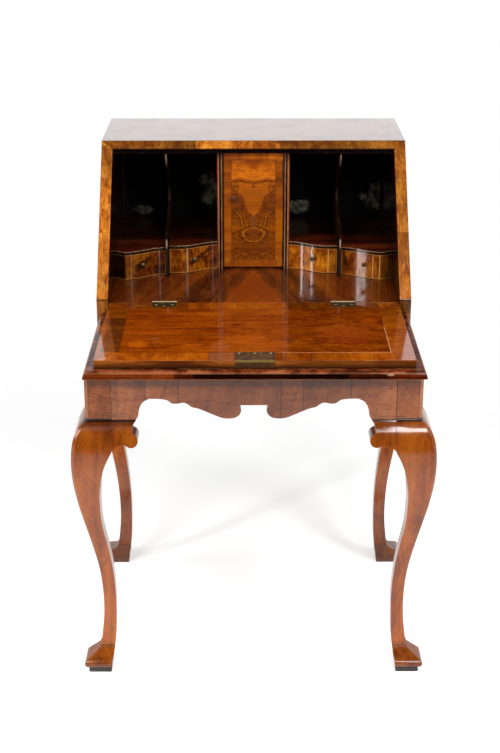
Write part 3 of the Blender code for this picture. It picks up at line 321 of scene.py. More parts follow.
def leg_wood():
    """Legs and their brackets: plain wood up to the knee, the apron's veneer on the post above it."""
    t = Tree("leg_walnut")
    upright = "zxy"
    colour, height = timber(t, upright, LEG, 2.0, 0.7, 0.9)
    mottle, _ = burr(t, upright, LEG, 3.0, 0.11)
    colour = t.over(colour, (0.25, mottle), (cracks(t, upright, 5.0, 0.60) * 0.8, "2A1208"))
    # Painted light and shade: the rear legs are lightened above z 0.22 and darkened low down; the upper legs
    # and the feet are darker too.
    dim = t.z.rise(0.40, 0.50) * 0.15 + t.z.rise(0.060, 0.045) * 0.35
    rear = t.y.rise(0.1, 0.2)
    dim = 1 - dim - rear * t.z.rise(0.30, 0.12) * 0.14
    colour = t.shade(colour, dim + rear * t.z.rise(0.22, 0.42) * 0.98)
    head, head_height = apron_veneer(t)
    post = t.z.rise(KNEE_Z + 0.0004, KNEE_Z + 0.0008)
    # Painted highlight: the canted corner of the post above the knee is lightened (C07A44).
    cant = (t.facing[0] * t.facing[1]).rise(0.36, 0.46) * post
    # Painted shadow: the top of each knee under the apron is darkened (200A03), more on the left; the dark
    # line at the knee is a joint widened with painted shade.
    under = t.z.rise(0.5260, 0.5410) * (1 - post) * (0.62 - t.right * 0.5)
    colour = t.over(colour, (t.z.line(FOOT_TOP_Z, 0.0005, 0.0005) * 0.55, "331204"),
                    (post, t.blend(cant * 0.2, head, "C07A44")), (under, "200A03"),
                    (t.z.line(KNEE_Z, 0.0022, 0.0012) * 0.9, "120603"))
    coat = (t.z.rise(0.055, 0.075) * 0.3 + 0.1) * (1 - t.z.rise(0.505, 0.530) * t.x.rise(0.1, -0.1) * 0.85)
    height = height * (1 - post) + head_height * post
    return close_up(t, colour, height, 0.16, 0.35, coat=coat, level=0.4, coat_rough=0.15)


# Where the apron's pieces of veneer meet, with the strength of each joint, and the tone of each piece; the
# end pieces, the right-hand ones most, are darkened as painted shade.
APRON_CUTS = [(-0.3097, 0.45), (-0.2573, 0.35), (-0.2033, 0.3), (-0.1417, 0.9), (0.0506, 0.8),
              (0.0917, 0.6), (0.1813, 1.0), (0.2673, 1.0), (0.3102, 0.45)]
APRON_TONES = (0.68, 0.72, 0.78, 0.94, 0.86, 0.90, 0.70, 0.76, 0.58, 0.28)


def apron_veneer(t):
    """Veneer with upright grain, in pieces of uneven width, with small knots and hair cracks."""
    run = t.x + t.y * t.facing[0].rise(0.6, 0.8)
    place, width = (run, t.z, t.y), 2 * FRAME_HALF
    ends = [0.0] + [cut / width + 0.5 for cut, _ in APRON_CUTS]
    tone = t.steps(run / width + 0.5, *zip(ends, [tone * 0.5 for tone in APRON_TONES]))
    lean = t.z + run * 0.35 + tone * 4
    colour, height = timber(t, (lean, run - t.z * 0.3, t.y * 0.2), APRON, 6.0, 1.3, 0.9)
    cloud, _ = burr(t, place, APRON, 8.0)
    colour = t.shade(t.blend(0.45, colour, cloud), tone * 1.9 + 0.05)
    warm = t.z.rise(0.600, 0.565) * t.x.rise(-0.1, 0.2) * 0.30
    knots = t.spots(place, (130, 170, 60), 0.24, 0.12, 3.0)
    marked = cracks(t, place, 9.0, 0.50)
    grime = t.noise(place, (60, 120, 60), 3.0, 10.0, 0.8).rise(0.56, 0.70)
    bent = t.z + (t.noise(t.place, 60, 1.0, 11.0) - 0.5) * 0.006
    split = bent.line(0.5735, 0.0004, 0.0006) * run.gate(0.228, 0.258, 0.004)
    split = split.high(bent.line(0.5500, 0.0004, 0.0006) * run.gate(0.232, 0.285, 0.006))
    cut = joints(t, run + (t.noise(t.place, 40, 1.0, 12.0) - 0.5) * 0.0012, APRON_CUTS, 0.0005)
    # Painted shadow: the top of the apron, under the fall's lip, is darkened (2A120A).
    colour = t.over(colour, (warm, "B4602A"), (t.z.rise(0.6030, 0.6160) * 0.6, "2A120A"),
                    (grime * 0.4, "4A2414"), (knots.high(marked) * 0.7, "24100A"),
                    (cut.high(split * 0.6), "1B0B05"))
    return colour, height - cut - knots * 0.6


def apron_wood():
    t = Tree("apron_walnut")
    colour, height = apron_veneer(t)
    inside = t.y.rise(-0.0925, -0.092) * (1 - t.facing[0].rise(0.6, 0.8))
    plain, _ = timber(t, "xzy", OAK, 4.0)
    return close_up(t, t.blend(inside * t.facing[1].rise(0.5, 0.7), colour, plain), height, 0.22, 0.45)


def side_apron_wood():
    t = Tree("side_apron_walnut")
    colour, height = apron_veneer(t)
    inside = abs(t.x).rise(FRAME_HALF - 0.0190, FRAME_HALF - 0.0195)
    plain, _ = timber(t, "yzx", OAK, 4.0)
    return close_up(t, t.blend(inside, colour, plain), height, 0.22, 0.45)


def side_wood():
    """Case sides: crossbanded front edge, bordered outside, dark inside."""
    t = Tree("case_side_walnut")
    ahead = (t.y - FRONT_Y) * math.sin(SLOPE_ANGLE) - (t.z - SLOPE_FOOT_Z) * math.cos(SLOPE_ANGLE)
    ahead = ahead.low(t.y - FRONT_Y)
    edge = ahead.rise(0.0011, 0.0008)
    lay, lay_height = slope_lay(t)
    panel, panel_height = burr(t, "zyx", FIELD, 20.0)
    rim = ahead.low(TOP_Z - t.z).low(BACK_Y - t.y).low(t.z - CASE_FOOT_Z)
    band, _ = timber(t, (t.y + t.z * 0.2, t.z, t.x), AMBER, 22.0, 0.8, 1.2)
    inner, _ = timber(t, "zyx", SHADED_INTERIOR, 24.0)
    # Painted light: the inner face is lightened toward the front edge (541805).
    inner = t.blend(ahead.rise(0.045, 0.0) * 0.75, inner, "541805")
    inside = abs(t.x).rise(INNER_HALF + 0.0006, INNER_HALF + 0.0003)
    # Painted shade: the edge banding is darkened on the right and below the slope's foot, most at the right
    # under the bend, with a dark line along the bend partly painted shade.
    below = t.z.rise(SLOPE_FOOT_Z + 0.0010, SLOPE_FOOT_Z - 0.0010)
    lay = t.shade(lay, (1 - t.right * 0.10) * (1 - below * (t.z.rise(0.738, 0.752) * t.right * 0.42 + 0.33)))
    lay = t.blend(t.z.line(SLOPE_FOOT_Z - 0.0008, 0.0012, 0.0014) * 0.7, lay, "2A0F04")
    colour = t.over(panel, (rim.rise(0.0305, 0.0295), band), (rim.line(0.031, 0.0007, 0.0002), "D9B27A"),
                    (rim.line(0.0322, 0.0004, 0.0002), "231007"), (inside, inner), (edge, lay))
    height = lay_height * edge + panel_height * (1 - edge)
    return close_up(t, colour, height, 0.2, 0.4, spared=t.z.rise(0.998, 1.004))


def slope_lay(t):
    """Crossbanding of the slope edges, in pieces of different tone up the slope."""
    run = (t.y - FRONT_Y) * math.cos(SLOPE_ANGLE) + (t.z - SLOPE_FOOT_Z) * math.sin(SLOPE_ANGLE)
    tone = t.steps(run / 0.35 + t.right * 0.5, (0.0, 0.46), (0.22, 0.52), (0.385, 0.60),
                  (0.55, 0.5), (0.70, 0.36), (0.88, 0.42), (1.0, 0.38))
    lay, height = burr(t, (run + t.x * 0.5, t.x * 1.6 + tone, run * 0.25), HONEY, 14.0, 0.13)
    strand, _ = timber(t, (run + t.x * 0.2, t.x + tone * 5, t.y), HONEY, 15.0, 0.9, 1.3)
    lay = t.shade(t.blend(0.25, lay, strand), tone * 1.5 + 0.09)
    cut = joints(t, run, ((0.247, 0.8), (0.191, 0.5), (0.1345, 0.8), (0.083, 0.4)))
    return t.blend(cut * 0.7, lay, "241006"), height


TOP_CUTS = [(-0.2146, 0.4), (-0.1116, 0.8), (-0.0123, 0.3), (0.0316, 0.5), (0.0526, 0.6), (0.2225, 0.5)]
TOP_TONES = [(0.0, 0.20), (0.142, 0.16), (0.238, 0.13), (0.314, 0.50), (0.48, 0.42), (0.56, 0.36),
             (0.585, 0.15), (0.68, 0.12), (0.80, 0.16), (0.87, 0.22)]


def top_wood():
    """Case top: veneered, with a crossbanded border and front edge, mitred into the slope edges."""
    t = Tree("case_top_walnut")
    panel, height = burr(t, t.place, FIELD, 30.0)
    rim = (CASE_HALF - abs(t.x)).low(t.y - TOP_FRONT_Y).low(BACK_Y - t.y)
    band, _ = timber(t, "yxz", AMBER, 32.0, 0.8, 1.2)
    panel = t.over(panel, (rim.rise(0.0355, 0.0345), t.shade(band, 0.7)),
                   (rim.line(0.036, 0.0006, 0.0002) * 0.5, "3A1C0C"))
    tone = t.steps(t.x / 0.6 + 0.5, *TOP_TONES)
    lay, _ = burr(t, "zxy", HONEY, 34.0, 0.11)
    strand, _ = timber(t, (t.z + tone * 5, t.x, t.y), HONEY, 35.0, 0.9, 1.3)
    lay = t.shade(t.blend(0.45, lay, strand), tone * 1.6 + 0.10)
    side_lay, _ = slope_lay(t)
    past = abs(t.x) - INNER_HALF - (t.z - TOP_UNDER_Z) * 1.45
    beyond = past.rise(-0.0004, 0.0004)
    low = t.z.rise(TOP_UNDER_Z + 0.0022, TOP_UNDER_Z + 0.0006) * (1 - beyond)
    lay = t.over(lay, (joints(t, t.x, TOP_CUTS) * 0.7, "241006"), (beyond, side_lay),
                 (past.line(0.0, 0.0004, 0.0003) * 0.6, "3A1A08"), (low * 0.8, "2A1006"))
    front = t.y.rise(TOP_FRONT_Y + 0.0128, TOP_FRONT_Y + 0.0122) * t.z.rise(TOP_Z - 0.0004, TOP_Z - 0.0008)
    # Painted shade: the underside inside the case is painted dark (1E0D06).
    under = t.z.rise(TOP_UNDER_Z + 0.0006, TOP_UNDER_Z + 0.0003) * (1 - beyond)
    colour = t.over(t.shade(panel, 0.5), (front, lay), (under, "1E0D06"))
    return close_up(t, colour, height, 0.2, 0.10, coat=0.3, spared=t.z.rise(1.016, 1.012), level=0.4)


# Marks on the fall's field: centre, half sizes, turn, strength and colour.
FIELD_MARKS = [((-0.0315, -0.1955), (0.008, 0.007), 0.3, 0.55, "3E1204"),
               ((-0.107, -0.219), (0.060, 0.0035), -0.05, 0.50, "54190A"),
               ((-0.150, -0.205), (0.030, 0.0030), 0.10, 0.40, "54190A"),
               ((-0.199, -0.298), (0.018, 0.020), 0.0, 0.55, "B4560A"),
               ((-0.104, -0.304), (0.020, 0.007), 0.1, 0.45, "B05208"),
               ((-0.020, -0.275), (0.050, 0.020), 0.1, 0.35, "B45A12"),
               ((0.100, -0.108), (0.042, 0.016), 0.0, 0.50, "4A1604"),
               ((0.061, -0.283), (0.010, 0.012), 0.6, 0.55, "4A1A10"),
               ((-0.058, -0.312), (0.021, 0.026), 0.0, 0.30, "A0542A"),
               ((0.160, -0.250), (0.055, 0.060), 0.3, 0.30, "8C3410"),
               ((0.205, -0.175), (0.018, 0.020), 0.2, 0.40, "A03C08"),
               ((-0.190, -0.135), (0.040, 0.014), 0.0, 0.40, "7A2A06")]


def fall_field(t):
    """Red-brown veneer with fine grain along the board, old marks, scratches and worn specks."""
    fine, height = timber(t, t.place, FIELD, 41.0, 1.5, 0.85)
    red, _ = burr(t, t.place, FIELD, 40.0)
    leaf = t.steps(t.x + 0.5, (0.0, 0.96), (0.4364, 0.86), (0.556, 0.68))
    field = t.shade(t.blend(t.x.rise(0.02, 0.09) * 0.38 + 0.42, fine, red), leaf * 0.96)
    drift = t.noise(t.place, (5, 90, 0), 3.0, 46.0, 0.4).rise(0.50, 0.68)
    field = marks(t, t.x, t.y, t.blend(drift * 0.35, field, "5E1C06"), FIELD_MARKS, 60)
    crack = (t.x + 0.1796 + (t.y + 0.2817) * 0.23).line(0.0, 0.0005, 0.0004)
    crack = crack * t.y.gate(-0.336, -0.281, 0.004)
    scratch = (t.y + 0.2705).line(0.0, 0.0007, 0.0004) * t.x.gate(-0.178, -0.163, 0.001)
    cut = joints(t, t.x, ((0.0565, 0.6), (-0.0636, 0.25)))
    wear_and_glint = scuffs(t, 3.0, 0.10) * t.noise(t.place, (14, 16, 0), 1.0, 12.0).rise(0.42, 0.60)
    return t.over(field, (crack * 0.6, "3A1006"), (scratch * 0.2, "E0B090"), (cut, "4A1C08"),
                  (wear_and_glint * t.x.rise(-0.02, 0.10) * 0.75, "DDA080")), height


def fall_border(t, gap_x, gap_y):
    """Crossbanding round the field: pieces of different tone, an old repair and a dark patch."""
    mitre, across = gap_x - gap_y, t.x + 0.5
    corner = mitre.rise(0.0004, -0.0004)
    place = t.blend(corner, t.vector("yxz"), t.place)
    border, _ = timber(t, place, BORDER, 43.0, 0.5, 0.8)
    curl, _ = burr(t, place, BORDER, 45.0)
    border = t.over(border, (0.45, curl), (abs(mitre).rise(0.0007, 0.0003) * 0.5, "3A1808"))
    back_tone = t.steps(across, (0.0, 0.32), (0.3786, 0.58), (0.5565, 0.27), (0.73, 0.50))
    front_tone = t.steps(across, (0.0, 0.66), (0.423, 0.36), (0.545, 0.46), (0.61, 0.52), (0.66, 0.60))
    side_tone = t.steps(t.y * 2 + 1.0, (0.0, 0.50), (0.60, 0.42), (0.68, 0.38))
    ends = t.blend(t.y.rise(-0.21, -0.20), front_tone, back_tone)
    border = t.shade(border, t.blend(corner, ends, side_tone) * 1.55)
    patch = t.x.gate(-0.2600, -0.2290, 0.0006) * t.y.gate(-0.338, -0.160, 0.001)
    patch_tone = t.noise(t.place, (60, 50, 0), 2.0, 49.0).rise(0.35, 0.65) * 0.25 + 0.55
    repair = t.x.gate(-0.0770, -0.0345) * t.y.gate(-0.3785, -0.3412)
    return t.over(border, (patch * patch_tone, "38180A"), (repair * 0.75, "844A2C"),
                  (repair * abs(t.x + 0.0557).rise(0.0185, 0.0205) * 0.5, "3A160C"))


def fall_skirt(t):
    """Everything beside and below the field's flat top: its edge, the step and the lip."""
    mixed, pore, _ = grain(t, "xzy", 50.0, 0.8, 1.2)
    wear_and_glint = t.noise(t.place, (34, 34, 0), 2.0, 52.0)
    out = (FIELD_END_Y - t.y).high(abs(t.x) - FIELD_HALF)
    # Painted shade: the step darkens toward the foot of the field's edge (2A0E04).
    step = t.over(tint(t, mixed, pore, ("38140A", "58220E", "78381A")),
                  (wear_and_glint.rise(0.52, 0.66) * 0.5, "A8623A"), (wear_and_glint.rise(0.48, 0.38) * 0.75, "1E0C05"),
                  (out.rise(0.0060, 0.0010) * 0.75, "2A0E04"))
    piece = t.steps(t.x + 0.5, (0.0, 0.95), (0.366, 0.50), (0.395, 0.10), (0.545, 0.06), (0.655, 0.34),
                   (0.715, 0.80), (0.755, 1.15))
    plug = blot(t, t.x, t.z, (0.2239, 0.7432), (0.0072, 0.0026))
    ring = blot(t, t.x, t.z, (0.2239, 0.7426), (0.0084, 0.0034)) - plug
    # Painted highlights: pale lines along the top (8C5A3C) and the bottom (8A4A24) of the lip's moulded
    # face.
    lip = t.over(t.shade(tint(t, mixed, pore, RUSSET), piece), (t.x.gate(-0.170, -0.134) * 0.15, "A04A18"),
                 (t.z.rise(0.7436, 0.7450) * (wear_and_glint.rise(0.35, 0.60) * 0.45 + 0.25), "8C5A3C"),
                 (t.z.rise(0.7372, 0.7358) * wear_and_glint.rise(0.42, 0.58) * 0.35, "8A4A24"),
                 (plug * 0.8, "94684A"), (ring.high(0.0) * 0.9, "140806"))
    edge = t.shade(tint(t, mixed, pore, ("4A200A", "743A12", "94541E")), 1 - t.x.rise(0.03, 0.06) * 0.35)
    # Painted shade: the field's edge darkens toward the step below it.
    edge = t.over(edge, (t.z.rise(0.7580, 0.7500) * 0.7, "241008"),
                  (t.z.rise(0.7506, 0.7482) * 0.8, "140802"))
    is_lip = t.z.rise(LIP_TOP_Z - 0.0008, LIP_TOP_Z - 0.0014)
    is_edge = (FIELD_HALF - abs(t.x)).low(t.y - FIELD_END_Y).rise(-0.0006, -0.0002)
    return t.over(step, (is_edge, edge), (is_lip, lip))


def fall_outside(t):
    """Outer face: quartered field, feather band and crossbanded border."""
    away = (FALL_HALF - abs(t.x)).low(t.y - FALL_END_Y).low(FIELD_START_Y - t.y)
    quarter, _ = burr(t, (abs(t.x), abs(t.y + 0.235), t.z), FIELD, 55.0)
    rim_band, _ = timber(t, (t.y + t.x * 0.1, t.x, t.z), AMBER, 57.0, 0.7, 1.2)
    slant = (abs(away - 0.0445) * 1.2 + (t.x + t.y)) / 0.0022
    feather = t.steps(slant.math("FRACT"), (0.0, "B98142"), (0.5, "5A2C12"))
    outside = t.over(quarter, (away.rise(0.0400, 0.0395), rim_band),
                     (away.gate(0.0400, 0.0490, 0.0002), feather),
                     (away.line(0.0445, 0.0003, 0.0002) * 0.7, "2A1208"))
    return t.shade(outside, 0.78)


def fall_wood():
    """Fall: bordered field inside, moulded lip, and a quartered, feather-banded outside."""
    t = Tree("fall_walnut")
    field, height = fall_field(t)
    gap_x, gap_y = INLAY_HALF - abs(t.x), (t.y - INLAY_FRONT_Y).low(INLAY_BACK_Y - t.y)
    rim = gap_x.low(gap_y)
    pale = t.x.rise(0.030, 0.045) * (1 - t.y.rise(-0.24, -0.17))
    top = t.over(fall_border(t, gap_x, gap_y), (rim.rise(-0.0003, 0.0003), field),
                 (rim.line(0.0, 0.0004, 0.0003) * pale * 0.65, "DCA886"),
                 (rim.line(0.0, 0.0005, 0.0005) * (1 - pale) * 0.45, "4A1A08"),
                 (cracks(t, t.place, 47.0, 0.60) * 0.7, "2A0E05"))
    above = t.z.rise(BED_Z - 0.0012, BED_Z - 0.0006)
    under = t.z.rise(FALL_UNDER_Z + 0.0008, FALL_UNDER_Z + 0.0004)
    colour = t.over(fall_skirt(t), (above, top), (under, fall_outside(t)))
    beside = abs(t.x).rise(FIELD_HALF, FIELD_HALF + 0.001) * (1 - t.right * 0.7)
    coat = above.high(under).high(beside * 0.5) * 0.8 + 0.07
    return close_up(t, colour, height, 0.17, 0.35, coat=coat, level=0.0)


def bed_wood():
    """Writing bed: book-matched, with dark streaks that spread toward the front."""
    t = Tree("bed_walnut")
    fan = abs(t.x)
    spread = fan + (t.y - 0.08) * 0.28
    drift = (t.noise((t.y, spread, 0.0), (16, 26, 0), 2.0, 73.0) - 0.5) * 0.014
    lean = spread + drift
    colour, height = timber(t, (t.y - fan * 0.28, lean, t.z), BED, 70.0, 0.8, 1.2)
    bar = joints(t, lean, ((0.0195, 0.9), (0.0265, 0.6), (0.033, 0.4), (0.042, 0.8), (0.056, 0.6),
                           (0.075, 0.5), (0.101, 0.5)), 0.0011)
    bar = bar * t.noise(t.place, 30, 1.0, 75.0).rise(0.35, 0.6)
    colour = t.over(colour, (lean.rise(0.024, 0.008) * 0.6, "8A3804"), (bar * 0.8, "140703"),
                    (fan.rise(0.14, 0.26) * 0.35, "3A1304"))
    return close_up(t, colour, height, 0.22, 0.3, coat=0.6, level=0.1)


def drawer_wood(name, tone, front, blots, cuts, seed):
    """Drawer: figured front with fine edge lines, oak box behind."""
    t = Tree(name)
    colour, height = timber(t, "xzy", DRAWER, 80.0 + seed, 0.8, 1.2)
    curl, _ = burr(t, "zxy", DRAWER, 84.0 + seed, 0.10)
    colour = t.shade(t.blend(0.6, colour, curl), tone)
    colour = marks(t, t.x, t.z, colour, [row + ("2A0E04",) for row in blots], 260, 0.9)
    # Painted shade: the ends of the outer drawers that face the case sides are darkened (140402), the left
    # one most.
    end = abs(t.x).rise(0.2455, 0.2485) * (0.92 - t.right * 0.47)
    rim = (DRAWER_HEIGHT / 2 - abs(t.z - DRAWER_CENTRE_Z)).low(abs(abs(t.x) - DIVIDER_X) - 0.0034)
    colour = t.over(colour, (joints(t, t.x, [(place, 0.75) for place in cuts], 0.0006), "D8A466"),
                    (end, "140402"), (rim.rise(0.0026, 0.0014) * 0.6, "C98B44"),
                    (rim.rise(0.0011, 0.0005) * 0.8, "3A1A0A"))
    box, _ = timber(t, "yxz", OAK, 88.0)
    show = t.backward.rise(-0.25, -0.35) * t.y.rise(front + 0.002, front)
    return close_up(t, t.blend(show, box, t.shade(colour, 0.80)), height, 0.16, 0.3,
                    coat=0.6 - t.x.rise(0.165, 0.171) * 0.28, level=0.2, coat_rough=0.08)


# Marks in the door's figure, and the lines beside its two lower arms: shift, half width, strength, colour.
DOOR_MARKS = [((0.0, 0.9282), (0.0036, 0.0024), 0.0, 0.8, "260A03"),
              ((0.0, 0.857), (0.006, 0.014), 0.0, 0.45, "5A4026"),
              ((0.0125, 0.8312), (0.0042, 0.0030), 0.3, 0.7, "3A1206"),
              ((0.0, 0.834), (0.005, 0.006), 0.0, 0.45, "5A3020"),
              ((0.036, 0.900), (0.007, 0.014), 0.3, 0.35, "4A2006"),
              ((0.0, 0.877), (0.006, 0.008), 0.0, 0.35, "A4580A")]
ARM_LINES = [(0.0, 0.0012, 0.45, "A0600E"), (-0.0060, 0.0008, 0.3, "9A580C"),
             (0.0036, 0.0014, 0.6, "3A1204"), (-0.0030, 0.0010, 0.5, "4A1C06")]


def door_wood():
    """Cupboard door: crossbanded border round a book-matched panel of vase-like figure."""
    t = Tree("door_walnut")
    border, _ = timber(t, "xzy", DOOR_BORDER, 90.0, 0.6, 0.8)
    upright, _ = timber(t, "zxy", DOOR_BORDER, 91.0, 0.6, 0.8)
    gap_x, gap_z = DOOR_HALF - abs(t.x), DOOR_HALF_HEIGHT - abs(t.z - DOOR_CENTRE_Z)
    mitre, gap = gap_x - gap_z, gap_x.low(gap_z)
    border = t.over(border, (mitre.rise(-0.0004, 0.0004), upright),
                    (abs(mitre).rise(0.0008, 0.0003) * 0.4, "5A2A0C"))
    # Painted light: the top rail of the border is lightened.
    border = t.shade(border, 1 + t.z.rise(0.978, 0.986) * 1.5)
    panel, height = door_figure(t, abs(t.x - 0.0004))
    panel_gap = gap - DOOR_BAND
    colour = t.over(border, (panel_gap.rise(-0.0003, 0.0003), panel),
                    (panel_gap.line(0.0, 0.0006, 0.0004) * 0.5, "4A2008"),
                    (gap.rise(0.0014, 0.0004) * 0.8, "2E1307"))
    return close_up(t, colour, height, 0.18, 0.25, coat=0.4)


def door_figure(t, fold):
    """Figure of one leaf of veneer, opened like a book about fold 0."""
    z, place = t.z, (fold, t.z, 0.0)
    wave = t.noise(place, (70, 40, 0), 2.0, 94.0) - 0.5
    broken = t.noise(place, (150, 90, 0), 2.0, 95.0).rise(0.34, 0.60) * 0.65 + 0.25
    panel, height = timber(t, (fold * 0.8, z + fold * 0.2, t.y), DOOR, 92.0, 0.7, 0.9)
    curl, _ = burr(t, (fold, z, t.y), DOOR, 93.0, 0.12)
    # Painted light and shade: the panel is lightened toward the top and darker low down.
    panel = t.shade(t.blend(0.5, panel, curl), 0.78 + z.rise(0.885, 0.935) * 0.3 + z.rise(0.935, 0.95) * 0.9)
    ripple = ((z + fold * fold * 9) * 1300 + wave * 22).math("SINE") * 0.5 + 0.5
    # The shield: its half width at each height, and the figure that follows its outline.
    drop = t.ramp((z - 0.865) / 0.075, (0.04, 0.05), (0.173, 0.25), (0.347, 0.37), (0.533, 0.525),
                  (0.707, 0.775), (0.893, 0.75), (1.0, 0.75))
    reach = drop * 0.04 + wave * 0.011
    shield = z.gate(0.868, 0.9355, 0.002)
    contour = ((fold - reach) * 1100 + wave * 9).math("SINE") * 0.5 + 0.5
    outer = (fold - reach).rise(0.0, 0.002) * z.gate(0.85, 0.930, 0.004)
    # The brow above it, a curl at its end and a hair line.
    sag = t.ramp(fold / 0.045, (0.0, 0.34), (0.22, 0.57), (0.44, 0.80), (1.0, 0.57))
    brow = z - 0.930 - sag * 0.012 + wave * 0.006
    dark_brow = abs(brow).rise(0.0024, 0.0008) * (fold.rise(0.008, 0.020) * 0.35 + 0.5)
    lobe = ((fold - 0.0348) * (fold - 0.0348) + (z - 0.923) * (z - 0.923)).root()
    hair = (z - 0.8913 + wave * 0.003).line(0.0, 0.0003, 0.0003) * fold.rise(0.037, 0.033)
    # The arms below it, the bulb between them and the dark foot.
    arm = t.ramp((z - 0.845) / 0.036, (0.0, 0.45), (0.65, 0.64), (1.0, 0.9)) * 0.04 - wave * 0.008
    in_arm = z.gate(0.8465, 0.8790, 0.003) * (broken * 0.5 + 0.5)
    across, up = fold / 0.0233, (z - 0.831) / 0.0141
    bulb = (across * across + up * up).root() + wave * 0.9
    foot = z.rise(0.809, 0.801) * t.noise(place, (120, 210, 0), 3.0, 97.0, 0.6).rise(0.40, 0.60)
    panel = t.over(panel, (ripple * z.rise(0.945, 0.956) * broken * 0.4, "5A2806"),
                   (contour * outer * broken * 0.5, "40180A"),
                   ((reach - fold).rise(-0.0014, 0.0022) * shield * 0.5, "A05209"),
                   (abs(fold - reach).rise(0.0018, 0.0004) * shield * broken * 0.6, "5A2406"),
                   (brow.rise(0.0062, 0.0030) * brow.rise(-0.0004, 0.0010) * 0.4, "7A3006"),
                   (dark_brow * (broken * 0.4 + 0.6), "3A0E04"),
                   (brow.line(0.0085, 0.0006, 0.0008) * broken * 0.7, "B87418"),
                   (abs(lobe - 0.006 + wave * 0.004).rise(0.0018, 0.0004) * broken * 0.7, "3E1404"),
                   (hair * 0.55, "3A1406"))
    panel = t.over(panel, *[((fold - arm).line(shift, half, 0.0010) * in_arm * strength, code)
                            for shift, half, strength, code in ARM_LINES])
    panel = t.over(panel, (bulb.rise(0.85, 0.65) * 0.35, "6A2E08"),
                   (bulb.line(1.18, 0.07, 0.07) * 0.5, "3A1606"),
                   (bulb.line(0.94, 0.06, 0.09) * (broken * 0.5 + 0.15), "A05C0C"), (foot * 0.6, "481806"))
    return marks(t, fold, z, panel, DOOR_MARKS, 300, 0.5), height


def plain_wood(name, lay, rough, wear_and_glint=0.4, **rest):
    """A piece of one wood, whose colour and height come from lay."""
    t = Tree(name)
    return close_up(t, *lay(t), rough, wear_and_glint, **rest)


def inner_wood(name, axes, tones, seed, wear_and_glint):
    """Unpolished wood of the fitted interior; with nearly black tones its darkness is painted shade."""
    return plain_wood(name, lambda t: timber(t, axes, tones, seed, 0.8, 1.1), 0.3, wear_and_glint,
                      coat=0.0, level=0.12)


def divider_wood():
    """Shaped dividers: nearly black, the front edge darkened as painted shade, with pale painted glints
    along it.
    """
    t = Tree("divider_walnut")
    colour, height = timber(t, "zyx", SHADED_INTERIOR, 103.0, 0.8, 1.1)
    # Painted highlights: pale glints at given heights up the front edge.
    wear_and_glint = t.ramp((t.z - BED_Z) / 0.235, (0.0, 0.03), (0.24, 0.05), (0.27, 0.75), (0.31, 0.70), (0.33, 0.0),
                  (0.37, 0.0), (0.378, 0.55), (0.390, 0.55), (0.400, 0.0), (0.435, 0.0), (0.44, 0.40),
                  (0.450, 0.40), (0.460, 0.0), (0.60, 0.08), (0.70, 0.0), (0.86, 0.0), (0.95, 0.75))
    ahead = t.backward.rise(-0.35, -0.75) * abs(abs(t.x) - DIVIDER_X).rise(0.0019, 0.0010)
    # The front faces are darkened as painted shade and carry the painted glints (A89278).
    colour = t.blend(ahead * wear_and_glint * 0.9, t.shade(colour, 1 - ahead * 0.8), "A89278")
    return t.finish(colour, sheen(t, height, 0.6), relief(t, height), coat=0.0, level=0.06)


def shelf_wood():
    """Drawer shelves: dark, darker toward the back and on the front face as painted shade, with a thin pale
    line along the upper front arris as a painted highlight.
    """
    t = Tree("shelf_wood")
    colour, height = timber(t, t.place, ("240A04", "461608", "6A280F"), 101.0, 0.8, 1.1)
    # Painted shade: darker toward the back.
    colour = t.shade(colour, 1 - (t.y + abs(abs(t.x) - DIVIDER_X) * 0.2).rise(0.12, 0.22) * 0.85)
    ahead = t.backward
    # Painted highlight on the upper front arris (A07C54), and painted shade on the front face (140804).
    wear_and_highlight = ahead.rise(-0.10, -0.45) * t.z.rise(SHELF_TOP_Z - 0.0014, SHELF_TOP_Z - 0.0009)
    colour = t.over(colour, (ahead.rise(-0.4, -0.8), "140804"), (wear_and_highlight * 0.7, "A07C54"))
    return t.finish(colour, sheen(t, height, 0.26), relief(t, height), coat=0.2, level=0.3)


def wall_wood():
    """Cupboard walls: two dark beads, the groove and inner side darkened as painted shade, a painted
    highlight on each crest, orange at the outer side.
    """
    t = Tree("cupboard_wall_walnut")
    colour, height = timber(t, "zxy", ("200C05", "3C1A0A", "5E3014"), 105.0, 0.8, 1.1)
    across = abs(t.x) - WALL_CENTRE_X
    ahead = t.backward.rise(-0.15, -0.45)
    patchy = t.noise(t.place, (90, 90, 40), 2.0, 106.0).rise(0.30, 0.55) * 0.5 + 0.4
    crest = across.line(0.0029, 0.0005, 0.0007).high(across.line(-0.0029, 0.0005, 0.0007) * 0.8)
    # Painted shade in the groove and on the inner side (100603); painted highlights on the crests (A2744C).
    colour = t.over(colour, (across.line(0.0, 0.0008, 0.0006).high(across.rise(-0.0044, -0.0052)), "100603"),
                    (across.rise(0.0040, 0.0050) * ahead * 0.85, "A24A16"),
                    (crest * ahead * patchy * 0.85, "A2744C"))
    return t.finish(colour, sheen(t, height, 0.24), relief(t, height), coat=0.3)


# Patches of bloom on the backboard: centre, half width, half height and strength.
BLOOM = [(-0.088, 0.880, 0.020, 0.036, 1.0), (0.258, 0.865, 0.028, 0.034, 0.6),
         (0.092, 0.842, 0.030, 0.014, 0.45), (-0.23, 0.835, 0.020, 0.010, 0.3)]


